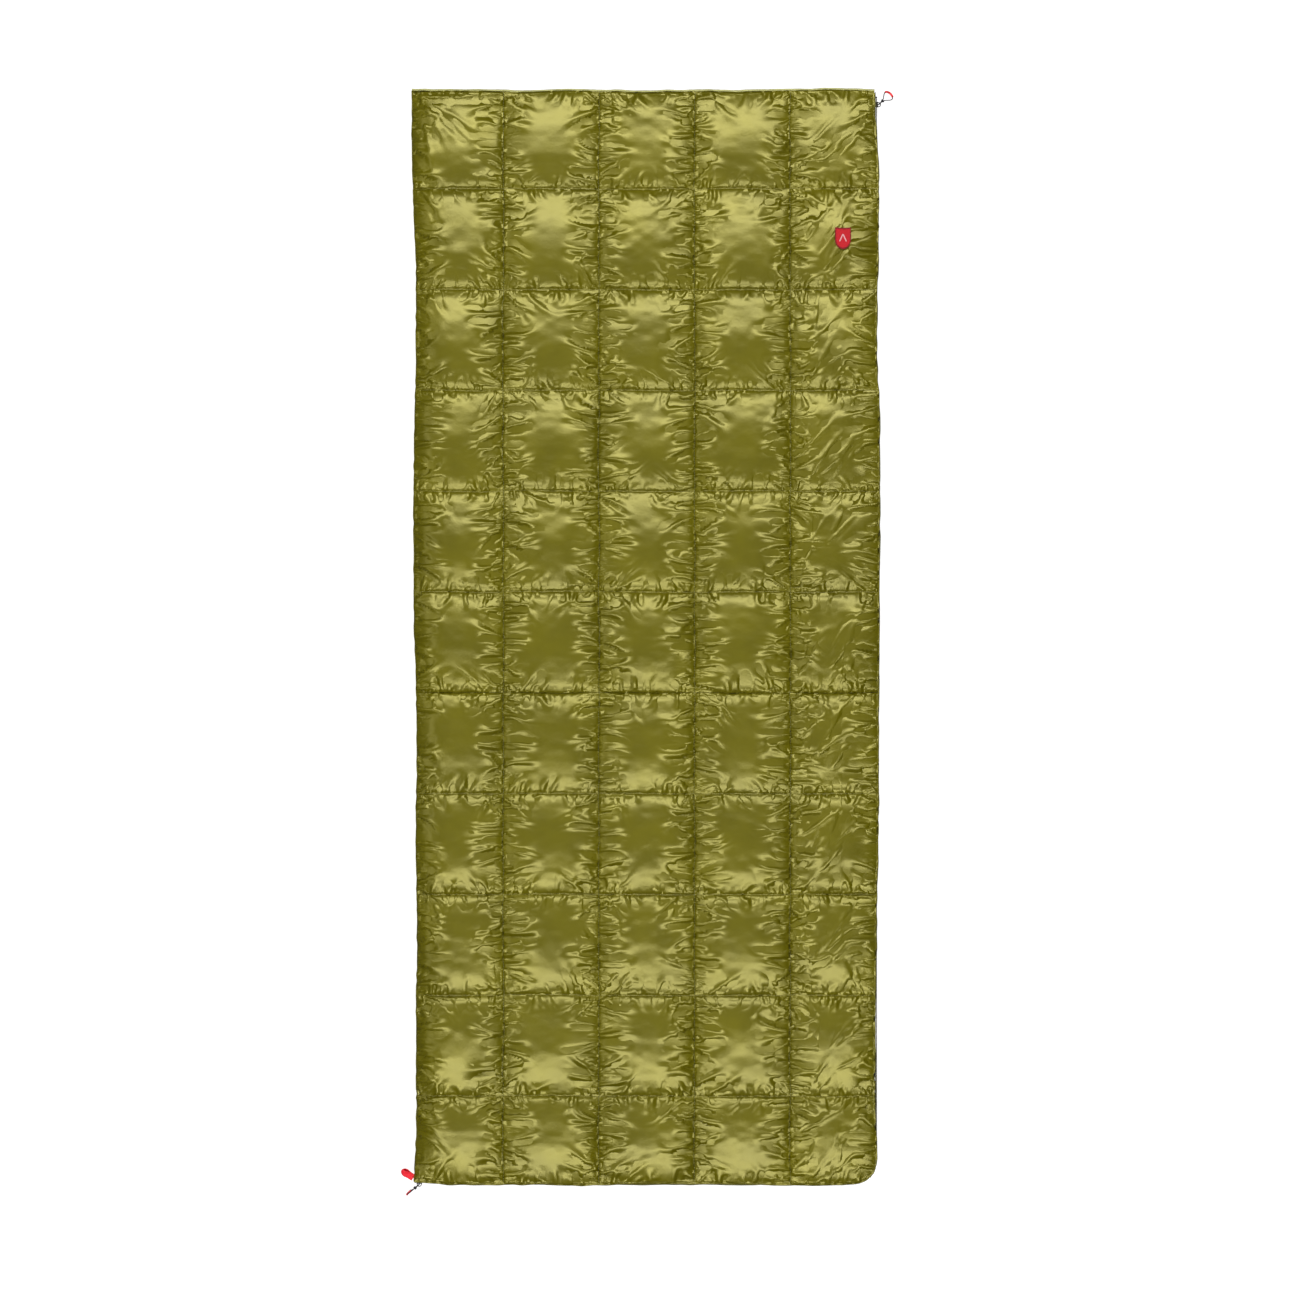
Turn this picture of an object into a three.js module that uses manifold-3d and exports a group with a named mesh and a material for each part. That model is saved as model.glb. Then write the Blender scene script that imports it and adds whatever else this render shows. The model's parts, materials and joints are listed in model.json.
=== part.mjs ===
// A rectangular down quilt, folded in half along its length and zipped round two sides.
// Millimetres, +Z up. X runs from the fold to the zip, and +Y points to the open head end.
// The quilt lies on the plane z = 0, with its two layers stacked.
import * as THREE from "three";
import { mergeVertices } from "three/addons/utils/BufferGeometryUtils.js";
import Module from "manifold-3d";

// Outline and quilting
const HEAD_Y = 950;
const HEAD_ROW = 172.5;
const ROW_PITCH = 175;
const FULL_ROWS = 9;
const FOLD_X = -403;
const FIRST_COLUMN_SEAM_X = -247;
const COLUMN_PITCH = 166;
const COLUMN_SEAMS = 4;
const CORNER_R = 40;
const PAD_INSET = 0.25; // share of a chamber's side between its seam and its flat crown

// Thicknesses through one layer
const LOFT = 28; // from one crown of a layer to the other
const SKIN = 0.6;
const LAYER_GAP = 0.3; // from a lining's crown to the plane where the layers meet
const SEAM_CLEARANCE = 1.2; // from the middle of a seam to each skin
const DOWN_GAP = 2; // from a skin's crown to the down
const DOWN_AT_SEAM = 0.7; // half the thickness of the down crushed in a seam
const DOWN_EDGE_INSET = 4;
const FOLD_SLOPE_DROP = 0.3; // how much less deep the seams are at the down, just inside the fold
const DOWN_ROW_GAP = 1;

// Zip wall, measured outward from the inner face of the tape
const WALL_X = 399.3;
const WALL_Y = -946.6;
const TAPE = 0.7;
const GAP = 0.3;
const COIL_START = TAPE + GAP;
const COIL_DEPTH = 2.4;
const COIL_HEIGHT = 2.6;
const HALF_CHAIN_GAP = 0.7;
const TAPE_HEIGHT = 14;
const TAPE_TOP_Y = 946;
const TAPE_FOOT_X = -401.5;
const STOP_LENGTH = 2.4;
const COIL_TOP_Y = 936;
const COIL_FOOT_X = -398.6;

// Sliders and pulls
const TOP_SLIDER_Y = 925;
const BOTTOM_SLIDER_X = -393.5;
const SLIDER_LENGTH = 10;
const SLIDER_HALF_WIDTH = 4.6;
const PLATE = 1.1;
const WEDGE_LENGTH = 2.5;
const HALF_WEDGE = 0.35;
const FLANGE_INNER = 3.7;
const PULL_CORD_R = 0.85;
const HITCH_CORD_R = 0.8;
const HITCH_R = 3.4;
const KNOT_R = 2.2;
const KNOT_AT = 9.2;
const BRIDGE_R = 3.6;
const BRIDGE_BAR = 1.5;
const BRIDGE_HALF_WIDTH = 1.5;
const SLEEVE_R = 1.9;
const SLEEVE_BORE_R = 1.25;
const TOP_PULL_TURN = 43; // degrees from straight out of the zip wall
const BOTTOM_PULL_TURN = 49;

// Trim
const BINDING_DEPTH = 3;
const BINDING_HEIGHT = 5;
const LOOP_WIDTH = 12;
const LOOP_THICKNESS = 1.2;
const LOOP_TIP_R = 4.2;
const LOOP_TIP_AT = 15.8;
const LOOP_ROOT_GAP = 0.5;
const LOOP_FULL_AT = 5.5; // where the loop's sides bulge out to its full thickness
const LOOP_SEWN = 3; // length of the root that is sewn flat
const LOOP_Y = -934;
const LOOP_TILT = 18;
const LOOP_NOTCH = 5; // how far the fold edge is drawn in beside the hang loop
const NOTCH_LENGTH = 28; // from the foot edge
const NOTCH_SLANT = 4;
const BADGE_WIDTH = 28;
const BADGE_HEIGHT = 38;
const BADGE_THICKNESS = 0.8;
const BADGE_X = 342;
const BADGE_Y = 690;

const PLATE_START = COIL_START + COIL_DEPTH + GAP;
const PIVOT_OUT = PLATE_START + PLATE + HITCH_CORD_R + GAP;
const FOLD_DEPTH = LOFT - LAYER_GAP - SKIN - SEAM_CLEARANCE;
const FOOT_EDGE_Y = WALL_Y + GAP;

const wasm = await Module();
wasm.setup();

function manifoldOf(geometry) {
  const bare = geometry.clone();
  bare.deleteAttribute("normal");
  bare.deleteAttribute("uv");
  const merged = mergeVertices(bare, 1e-4);
  return new wasm.Manifold(
    new wasm.Mesh({
      numProp: 3,
      vertProperties: new Float32Array(merged.attributes.position.array),
      triVerts: new Uint32Array(merged.index.array),
    }),
  );
}

function union(...geometries) {
  const joined = geometries.map(manifoldOf).reduce((whole, piece) => whole.add(piece));
  const { vertProperties, triVerts } = joined.getMesh();
  const geometry = new THREE.BufferGeometry();
  geometry.setAttribute("position", new THREE.BufferAttribute(vertProperties, 3));
  geometry.setIndex(new THREE.BufferAttribute(triVerts, 1));
  geometry.computeVertexNormals();
  return geometry;
}

function material(color, roughness, metalness = 0) {
  return new THREE.MeshStandardMaterial({ color, roughness, metalness });
}

const OLIVE_TAFFETA = material(0x8a8630, 0.35);
const LINING_TAFFETA = material(0x7d7a34, 0.4);
const DOWN = material(0xe9e4d8, 0.95);
const ZIP_TAPE = material(0x5b5b40, 0.8);
const ZIP_COIL = material(0x4a4a44, 0.45);
const BLACK_METAL = material(0x16161a, 0.4, 0.7);
const BLACK_CORD = material(0x1c1a1e, 0.75);
const RED_SLEEVE = material(0xd8262e, 0.5);
const RED_WEBBING = material(0xe0202c, 0.7);
const RED_BADGE = material(0xc41f28, 0.6);

const quilt = new THREE.Group();

function addMesh(name, geometry, surface, parent = quilt) {
  const mesh = new THREE.Mesh(geometry, surface);
  mesh.name = name;
  parent.add(mesh);
  return mesh;
}

// ---- Quilted layers ----

// One sewn chamber from above. Its four seam corners go anticlockwise from the foot and fold side.
// Each corner is a list of points, because a rounded corner and a notched one have several.
function chamber(west, east, south, north, cornerRadius = 0, notched = false) {
  const padX = (east - west) * PAD_INSET;
  const padY = (north - south) * PAD_INSET;
  const roundCorner = [-90, -60, -30, 0].map((degrees) => {
    const angle = THREE.MathUtils.degToRad(degrees);
    return {
      x: east - cornerRadius + cornerRadius * Math.cos(angle),
      y: south + cornerRadius + cornerRadius * Math.sin(angle),
    };
  });
  const notchedCorner = [
    { x: west, y: south + NOTCH_LENGTH + NOTCH_SLANT },
    { x: west + LOOP_NOTCH, y: south + NOTCH_LENGTH },
    { x: west + LOOP_NOTCH, y: south },
  ];
  return {
    corners: [
      notched ? notchedCorner : [{ x: west, y: south }],
      cornerRadius ? roundCorner : [{ x: east, y: south }],
      [{ x: east, y: north }],
      [{ x: west, y: north }],
    ],
    crown: [
      { x: west + padX, y: south + padY, onCrown: true },
      { x: east - padX, y: south + padY, onCrown: true },
      { x: east - padX, y: north - padY, onCrown: true },
      { x: west + padX, y: north - padY, onCrown: true },
    ],
  };
}

// The chambers' triangles seen from above, with the points that neighbours share.
function planOf(chambers) {
  const points = [];
  const triangles = [];
  const numbers = new Map();
  const number = (point) => {
    const key = `${point.x.toFixed(4)} ${point.y.toFixed(4)}`;
    if (!numbers.has(key)) {
      numbers.set(key, points.length);
      points.push(point);
    }
    return numbers.get(key);
  };
  const addTriangle = (...corners) => triangles.push(corners.map(number));
  for (const { corners, crown } of chambers) {
    crown.forEach((pad, side) => {
      const nextPad = crown[(side + 1) % 4];
      const corner = corners[side];
      const nextCorner = corners[(side + 1) % 4];
      corner.slice(1).forEach((point, i) => addTriangle(corner[i], point, pad));
      addTriangle(corner.at(-1), nextCorner[0], nextPad);
      addTriangle(corner.at(-1), nextPad, pad);
    });
    addTriangle(crown[0], crown[1], crown[2]);
    addTriangle(crown[0], crown[2], crown[3]);
  }
  return { points, triangles };
}

// A closed body over the plan, between two height functions, with walls along the plan's outline.
function bodyOver({ points, triangles }, lowZ, highZ) {
  const vertices = [lowZ, highZ].flatMap((z) => points.flatMap((p) => [p.x, p.y, z(p)]));
  const faces = [];
  const sides = new Set(triangles.flatMap(([a, b, c]) => [`${a} ${b}`, `${b} ${c}`, `${c} ${a}`]));
  const top = points.length;
  for (const [a, b, c] of triangles) {
    faces.push(a + top, b + top, c + top, c, b, a);
    for (const [from, to] of [[a, b], [b, c], [c, a]]) {
      if (!sides.has(`${to} ${from}`)) {
        faces.push(from, to, to + top, from, to + top, from + top);
      }
    }
  }
  const geometry = new THREE.BufferGeometry();
  geometry.setAttribute("position", new THREE.Float32BufferAttribute(vertices, 3));
  geometry.setIndex(faces);
  geometry.computeVertexNormals();
  return geometry;
}

// How deep under a layer's outer crowns a point lies: one depth at a crown, and an offset
// from the middle of the seam elsewhere. Seams lie deeper at the fold, except at the zipped foot.
function depthOf(crownDepth, seamOffset) {
  return (point) => {
    if (point.onCrown) return crownDepth;
    const atFold = point.x <= FOLD_X + LOOP_NOTCH + DOWN_EDGE_INSET;
    const atFoot = point.y <= FOOT_EDGE_Y + DOWN_EDGE_INSET;
    if (!atFold || atFoot) return LOFT / 2 + seamOffset;
    return FOLD_DEPTH - (point.x > FOLD_X ? FOLD_SLOPE_DROP : 0) + seamOffset;
  };
}

const LAYERS = {
  lower: (plan, outer, inner) => bodyOver(plan, outer, inner),
  upper: (plan, outer, inner) =>
    bodyOver(
      plan,
      (point) => 2 * LOFT - inner(point),
      (point) => 2 * LOFT - outer(point),
    ),
};

const COLUMN_EDGES = [
  FOLD_X,
  ...Array.from({ length: COLUMN_SEAMS }, (_, i) => FIRST_COLUMN_SEAM_X + i * COLUMN_PITCH),
  WALL_X - GAP,
];
const FIRST_ROW_SEAM_Y = HEAD_Y - HEAD_ROW - FULL_ROWS * ROW_PITCH;
const ROW_EDGES = [
  FOOT_EDGE_Y,
  ...Array.from({ length: FULL_ROWS + 1 }, (_, i) => FIRST_ROW_SEAM_Y + i * ROW_PITCH),
  HEAD_Y - BINDING_DEPTH - GAP,
];
const COLUMNS = COLUMN_EDGES.length - 1;
const ROWS = ROW_EDGES.length - 1;

function rowOfChambers(row, edgeInset, rowGap) {
  return Array.from({ length: COLUMNS }, (_, column) => {
    const isFold = column === 0;
    const isZip = column === COLUMNS - 1;
    return chamber(
      COLUMN_EDGES[column] + (isFold ? edgeInset : 0),
      COLUMN_EDGES[column + 1] - (isZip ? edgeInset : 0),
      ROW_EDGES[row] + (row === 0 ? edgeInset : rowGap),
      ROW_EDGES[row + 1] - rowGap,
      isZip && row === 0 ? CORNER_R - edgeInset : 0,
      isFold && row === 0,
    );
  });
}

const wholePlan = planOf(
  Array.from({ length: ROWS }, (_, row) => rowOfChambers(row, 0, 0)).flat(),
);

function addLayer(side) {
  const between = LAYERS[side];
  addMesh(
    `${side}_outer_shell`,
    between(
      wholePlan,
      depthOf(0, -SEAM_CLEARANCE - SKIN),
      depthOf(SKIN, -SEAM_CLEARANCE),
    ),
    OLIVE_TAFFETA,
  );
  const liningFace = LOFT - LAYER_GAP;
  addMesh(
    `${side}_lining`,
    between(
      wholePlan,
      depthOf(liningFace - SKIN, SEAM_CLEARANCE),
      depthOf(liningFace, SEAM_CLEARANCE + SKIN),
    ),
    LINING_TAFFETA,
  );
  for (let row = 0; row < ROWS; row += 1) {
    const fromHead = String(ROWS - row).padStart(2, "0");
    addMesh(
      `${side}_down_row_${fromHead}`,
      between(
        planOf(rowOfChambers(row, DOWN_EDGE_INSET, DOWN_ROW_GAP)),
        depthOf(SKIN + DOWN_GAP, -DOWN_AT_SEAM),
        depthOf(liningFace - SKIN - DOWN_GAP, DOWN_AT_SEAM),
      ),
      DOWN,
    );
  }
  const binding = new THREE.BoxGeometry(WALL_X - FOLD_X - GAP, BINDING_DEPTH, BINDING_HEIGHT);
  addMesh(`${side}_head_binding`, binding, OLIVE_TAFFETA).position.set(
    (WALL_X - GAP + FOLD_X) / 2,
    HEAD_Y - BINDING_DEPTH / 2,
    side === "lower" ? LOFT / 2 : LOFT + LOFT / 2,
  );
}

addLayer("lower");
addLayer("upper");

// ---- Zip ----

// A strip that follows the zip wall from the head, round the foot corner, to the fold.
// near and far are its faces, outward from the wall.
function stripAlongWall(near, far, topY, footX, lowZ, highZ) {
  const centreX = WALL_X - CORNER_R;
  const centreY = WALL_Y + CORNER_R;
  const outline = new THREE.Shape();
  outline.moveTo(WALL_X + near, topY);
  outline.lineTo(WALL_X + far, topY);
  outline.lineTo(WALL_X + far, centreY);
  outline.absarc(centreX, centreY, CORNER_R + far, 0, -Math.PI / 2, true);
  outline.lineTo(footX, WALL_Y - far);
  outline.lineTo(footX, WALL_Y - near);
  outline.absarc(centreX, centreY, CORNER_R + near, -Math.PI / 2, 0, false);
  const strip = new THREE.ExtrudeGeometry(outline, {
    depth: highZ - lowZ,
    bevelEnabled: false,
    curveSegments: 8,
  });
  return strip.translate(0, 0, lowZ);
}

function addZipSide(side) {
  const up = side === "lower" ? -1 : 1;
  const nearZ = LOFT + up * HALF_CHAIN_GAP;
  const range = (height) => [Math.min(nearZ, nearZ + up * height), Math.max(nearZ, nearZ + up * height)];
  addMesh(
    `${side}_zip_tape`,
    stripAlongWall(0, TAPE, TAPE_TOP_Y, TAPE_FOOT_X, ...range(TAPE_HEIGHT)),
    ZIP_TAPE,
  );
  addMesh(
    `${side}_zip_coil`,
    stripAlongWall(COIL_START, COIL_START + COIL_DEPTH, COIL_TOP_Y, COIL_FOOT_X, ...range(COIL_HEIGHT)),
    ZIP_COIL,
  );
  const stopOut = COIL_START + COIL_DEPTH / 2;
  const stopZ = nearZ + (up * COIL_HEIGHT) / 2;
  const topStop = new THREE.BoxGeometry(COIL_DEPTH, STOP_LENGTH, COIL_HEIGHT);
  addMesh(`${side}_head_stop`, topStop, BLACK_METAL).position.set(
    WALL_X + stopOut,
    COIL_TOP_Y + GAP + STOP_LENGTH / 2,
    stopZ,
  );
  const footStop = new THREE.BoxGeometry(STOP_LENGTH, COIL_DEPTH, COIL_HEIGHT);
  addMesh(`${side}_foot_stop`, footStop, BLACK_METAL).position.set(
    COIL_FOOT_X - GAP - STOP_LENGTH / 2,
    WALL_Y - stopOut,
    stopZ,
  );
}

addZipSide("lower");
addZipSide("upper");

// ---- Sliders and their pulls ----

// In a slider's own axes, X is along the zip, Y is outward from the wall, and Z is up.
function blockOf(x, y, z, width, depth, height) {
  return new THREE.BoxGeometry(width, depth, height).translate(x, y, z);
}

function bridge() {
  const outer = BRIDGE_R + BRIDGE_BAR / 2;
  const inner = BRIDGE_R - BRIDGE_BAR / 2;
  const base = PLATE_START + PLATE / 2;
  const arch = new THREE.Shape();
  arch.moveTo(outer, base);
  arch.lineTo(outer, PIVOT_OUT);
  arch.absarc(0, PIVOT_OUT, outer, 0, Math.PI, false);
  arch.lineTo(-outer, base);
  arch.lineTo(-inner, base);
  arch.absarc(0, PIVOT_OUT, inner, Math.PI, 0, true);
  arch.lineTo(inner, base);
  const bar = new THREE.ExtrudeGeometry(arch, {
    depth: 2 * BRIDGE_HALF_WIDTH,
    bevelEnabled: false,
    curveSegments: 10,
  });
  return bar.translate(0, 0, -BRIDGE_HALF_WIDTH);
}

// Two plates joined by the wedge between the coils. Only the lower side has a flange,
// so the upper coil can lift out sideways when the layer above is folded open.
function sliderBody(wedgeSide) {
  const width = 2 * SLIDER_HALF_WIDTH;
  const innerPlate = blockOf(0, -GAP - PLATE / 2, 0, SLIDER_LENGTH, PLATE, width);
  const outerPlate = blockOf(0, PLATE_START + PLATE / 2, 0, SLIDER_LENGTH, PLATE, width);
  const wedge = blockOf(
    (wedgeSide * (SLIDER_LENGTH - WEDGE_LENGTH)) / 2,
    (PLATE_START - GAP) / 2,
    0,
    WEDGE_LENGTH,
    PLATE_START + GAP + PLATE,
    2 * HALF_WEDGE,
  );
  const flange = blockOf(
    0,
    (COIL_START + PLATE_START + PLATE) / 2,
    -(FLANGE_INNER + SLIDER_HALF_WIDTH) / 2,
    SLIDER_LENGTH,
    PLATE_START + PLATE - COIL_START,
    SLIDER_HALF_WIDTH - FLANGE_INNER,
  );
  return union(innerPlate, outerPlate, wedge, flange, bridge());
}

// A ring of cord through the bridge, and the knot that closes it. Y points along the pull.
function hitch() {
  const ring = new THREE.TorusGeometry(HITCH_R, HITCH_CORD_R, 8, 16);
  ring.rotateY(Math.PI / 2).translate(0, HITCH_R, 0);
  const knot = new THREE.IcosahedronGeometry(KNOT_R, 1).translate(0, KNOT_AT, 0);
  return union(ring, knot);
}

// The cord's loop from the knot out and back, as [across, along the pull, up].
const TOP_LOOP_HALF = [
  [1.2, 11.8, 0],
  [2.2, 13.4, -0.4],
  [3.8, 15.6, -1.9],
  [5.6, 18, -4.5],
  [7.2, 20.4, -7.7],
  [8.3, 22.8, -11.3],
  [8.5, 25.2, -15.2],
  [7.6, 27.4, -19],
  [5.6, 29.2, -22.2],
  [3, 30.3, -24.3],
];
const TOP_LOOP = [
  ...TOP_LOOP_HALF,
  [0, 30.7, -25],
  ...TOP_LOOP_HALF.map(([across, along, up]) => [-across, along, up]).reverse(),
];
const BOTTOM_LOOP = [
  [0, 11.8, 1.2],
  [0, 14.2, 2],
  [0, 17.2, 2.2],
  [0, 20.4, 1.4],
  [0, 23.4, -0.6],
  [0, 26, -3.6],
  [0, 28, -7.4],
  [0, 29, -11.8],
  [0, 28.9, -16.2],
  [0, 27.6, -20.2],
  [0, 25, -23.2],
  [0, 21.8, -23.8],
  [0, 19, -21.6],
  [0, 17, -17.8],
  [0, 15.4, -13.4],
  [0, 14, -9],
  [0, 12.8, -4.8],
  [0, 11.8, -1.2],
];

function ringOfPoints(radius) {
  return Array.from({ length: 8 }, (_, i) => {
    const angle = (i * Math.PI) / 4;
    return new THREE.Vector2(radius * Math.cos(angle), radius * Math.sin(angle));
  });
}

const CORD_STEPS = 20;
const SLEEVE_FIRST_STEP = 7;
const SLEEVE_LAST_STEP = 13;

function cordLoop(route) {
  const path = new THREE.CatmullRomCurve3(route.map((point) => new THREE.Vector3(...point)));
  const section = new THREE.Shape(ringOfPoints(PULL_CORD_R));
  return new THREE.ExtrudeGeometry(section, { steps: CORD_STEPS, extrudePath: path });
}

function sleeveOn(route) {
  const path = new THREE.CatmullRomCurve3(route.map((point) => new THREE.Vector3(...point)));
  const covered = path.getSpacedPoints(CORD_STEPS).slice(SLEEVE_FIRST_STEP, SLEEVE_LAST_STEP + 1);
  const section = new THREE.Shape(ringOfPoints(SLEEVE_R));
  section.holes.push(new THREE.Path(ringOfPoints(SLEEVE_BORE_R)));
  return new THREE.ExtrudeGeometry(section, {
    steps: SLEEVE_LAST_STEP - SLEEVE_FIRST_STEP,
    extrudePath: new THREE.CatmullRomCurve3(covered),
  });
}

function addSlider(name, x, y, turn, wedgeSide, pullTurn, route) {
  const slider = new THREE.Group();
  slider.position.set(x, y, LOFT);
  slider.rotation.z = THREE.MathUtils.degToRad(turn);
  quilt.add(slider);
  addMesh(`${name}_slider_body`, sliderBody(wedgeSide), BLACK_METAL, slider);
  const pull = new THREE.Group();
  pull.position.y = PIVOT_OUT;
  pull.rotation.z = THREE.MathUtils.degToRad(pullTurn);
  slider.add(pull);
  addMesh(`${name}_pull_hitch`, hitch(), BLACK_CORD, pull);
  addMesh(`${name}_pull_cord`, cordLoop(route), BLACK_CORD, pull);
  addMesh(`${name}_pull_sleeve`, sleeveOn(route), RED_SLEEVE, pull);
}

addSlider("top", WALL_X, TOP_SLIDER_Y, -90, -1, TOP_PULL_TURN, TOP_LOOP);
addSlider("bottom", BOTTOM_SLIDER_X, WALL_Y, 180, 1, -BOTTOM_PULL_TURN, BOTTOM_LOOP);

// ---- Hang loop and badge ----

// Webbing folded into a teardrop. In its own axes, Y is outward from the fold and X is up.
function hangLoop() {
  const inner = LOOP_TIP_R - LOOP_THICKNESS;
  const rootHalf = LOOP_THICKNESS + GAP / 2;
  const outline = new THREE.Shape();
  outline.moveTo(-rootHalf, 0);
  outline.quadraticCurveTo(-LOOP_TIP_R, LOOP_FULL_AT, -LOOP_TIP_R, LOOP_TIP_AT);
  outline.absarc(0, LOOP_TIP_AT, LOOP_TIP_R, Math.PI, 0, true);
  outline.quadraticCurveTo(LOOP_TIP_R, LOOP_FULL_AT, rootHalf, 0);
  const eye = new THREE.Path();
  eye.moveTo(0, LOOP_SEWN);
  eye.quadraticCurveTo(inner, LOOP_FULL_AT + LOOP_SEWN, inner, LOOP_TIP_AT);
  eye.absarc(0, LOOP_TIP_AT, inner, 0, Math.PI, false);
  eye.quadraticCurveTo(-inner, LOOP_FULL_AT + LOOP_SEWN, 0, LOOP_SEWN);
  outline.holes.push(eye);
  const webbing = new THREE.ExtrudeGeometry(outline, {
    depth: LOOP_WIDTH,
    bevelEnabled: false,
    curveSegments: 8,
  });
  // Its width runs along the fold, and its tip points away from the quilt.
  webbing.translate(0, 0, -LOOP_WIDTH / 2);
  webbing.applyMatrix4(
    new THREE.Matrix4().makeBasis(
      new THREE.Vector3(0, 0, 1),
      new THREE.Vector3(-1, 0, 0),
      new THREE.Vector3(0, -1, 0),
    ),
  );
  return webbing;
}

const loop = addMesh("hang_loop", hangLoop(), RED_WEBBING);
const loopTilt = THREE.MathUtils.degToRad(LOOP_TILT);
loop.rotation.z = -loopTilt;
loop.position.set(
  FOLD_X - LOOP_ROOT_GAP - (LOOP_WIDTH / 2) * Math.sin(loopTilt),
  LOOP_Y,
  LOFT,
);

const badgeR = BADGE_WIDTH / 2;
const badgeOutline = new THREE.Shape();
badgeOutline.moveTo(badgeR, BADGE_HEIGHT / 2);
badgeOutline.lineTo(-badgeR, BADGE_HEIGHT / 2);
badgeOutline.lineTo(-badgeR, badgeR - BADGE_HEIGHT / 2);
badgeOutline.absarc(0, badgeR - BADGE_HEIGHT / 2, badgeR, Math.PI, 2 * Math.PI, false);
const badge = new THREE.ExtrudeGeometry(badgeOutline, {
  depth: BADGE_THICKNESS,
  bevelEnabled: false,
  curveSegments: 12,
});
addMesh("badge", badge, RED_BADGE).position.set(BADGE_X, BADGE_Y, 2 * LOFT + GAP);

export default quilt;
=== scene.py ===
"""The looks of a down quilt that is folded in half along its length and zipped round two sides."""

import json
import math

import bpy
import numpy as np
from mathutils import Matrix, Vector


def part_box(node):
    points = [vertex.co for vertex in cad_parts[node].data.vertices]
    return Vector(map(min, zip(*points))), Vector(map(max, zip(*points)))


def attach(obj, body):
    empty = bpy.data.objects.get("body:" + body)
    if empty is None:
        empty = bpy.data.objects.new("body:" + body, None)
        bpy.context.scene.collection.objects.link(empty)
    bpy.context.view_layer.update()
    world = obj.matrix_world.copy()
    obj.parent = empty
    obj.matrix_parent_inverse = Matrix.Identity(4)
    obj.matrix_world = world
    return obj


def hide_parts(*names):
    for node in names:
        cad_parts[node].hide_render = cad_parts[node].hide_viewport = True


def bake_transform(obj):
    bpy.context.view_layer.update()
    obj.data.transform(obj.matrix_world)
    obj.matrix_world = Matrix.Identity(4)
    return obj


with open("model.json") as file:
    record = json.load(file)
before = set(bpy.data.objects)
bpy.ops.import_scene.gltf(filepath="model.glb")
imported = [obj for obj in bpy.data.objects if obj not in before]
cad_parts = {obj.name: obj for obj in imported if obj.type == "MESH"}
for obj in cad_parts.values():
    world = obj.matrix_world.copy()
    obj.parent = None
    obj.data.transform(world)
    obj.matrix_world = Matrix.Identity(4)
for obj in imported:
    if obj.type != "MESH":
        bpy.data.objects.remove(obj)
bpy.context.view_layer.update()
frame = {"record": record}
MM = 0.001

# ---- Driving dimensions, in metres, as in the CAD model ----
SHELL_LOW, SHELL_HIGH = (np.array(corner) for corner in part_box("upper_outer_shell"))
FOLD_X, EDGE_X = SHELL_LOW[0], SHELL_HIGH[0]
FOOT_Y, HEAD_Y = SHELL_LOW[1], SHELL_HIGH[1]
MID_Z = 28 * MM
SIDES = {"lower": -1, "upper": 1}
SEAM_Z = {"lower": 14 * MM, "upper": 42 * MM}
COLUMN_SEAMS = -0.247 + 0.166 * np.arange(4)
ROW_SEAMS = 0.7775 - 0.175 * np.arange(9, -1, -1)
CORNER_R = 40 * MM
WALL_X, WALL_Y = 399.3 * MM, -946.6 * MM
BINDING = {side: np.array(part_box(f"{side}_head_binding")) for side in SIDES}
PIVOT_OUT = 5.9 * MM
SEED = 7
# How far the outline strays from straight, as pairs of a place along the edge and a distance, both in
# millimetres. The fold strays towards the zip, and the other three edges stray outward.
FOLD_STRAY = [
    [-947, 0.5], [-890, 4], [-820, 5], [-640, 4.5], [-560, 6], [-470, 6], [-380, 5], [-300, 4.5],
    [-210, 6], [-130, 6], [-40, 3], [45, 0.5], [220, 0.5], [310, 1], [390, 2.5], [480, 4.5],
    [650, 4.5], [740, 0.5], [825, -2], [950, -3],
]
ZIP_STRAY = [
    [-947, 2], [-900, 2.4], [-820, -0.5], [-640, 0], [-560, 1.7], [-470, 1.7], [-380, 4],
    [-300, 5.5], [-120, 5.5], [45, 7], [130, 7.5], [300, 7.5], [390, 7], [480, 2.5], [560, 2.5],
    [650, 4.5], [740, 6], [825, 5], [880, 1.5], [913, -1], [950, -1.5],
]
FOOT_STRAY = [
    [-403, 0.5], [-385, 2], [-350, 5], [-180, 5], [-130, 7], [-80, 5.5], [120, 4.5], [300, 7], [400, 5],
]
HEAD_STRAY = [
    [-403, 2], [-320, 2], [-200, 0], [-140, 2.5], [-80, 2], [-18, -1.5], [100, 0.5], [165, -1],
    [225, 3], [285, 4], [400, 3],
]


# ---- Camera and lights ----
def add_camera():
    """Straight above the quilt, far enough away that it hardly shows perspective."""
    height = 9.0
    view_width = 2.2364
    data = bpy.data.cameras.new("camera")
    data.sensor_width = 36
    data.lens = data.sensor_width * height / view_width
    data.clip_end = 50
    camera = bpy.data.objects.new("camera", data)
    camera.location = (-0.001, -0.0147, height + 2 * MID_Z)
    bpy.context.collection.objects.link(camera)
    bpy.context.scene.camera = camera


def add_area_light(name, place, target, size, power, color=(1, 1, 1)):
    data = bpy.data.lights.new(name, "AREA")
    data.shape = "RECTANGLE"
    data.size, data.size_y = size
    data.energy = power
    data.color = color
    light = bpy.data.objects.new(name, data)
    light.location = place
    light.rotation_euler = (Vector(target) - Vector(place)).to_track_quat("-Z", "Y").to_euler()
    bpy.context.collection.objects.link(light)


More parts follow.
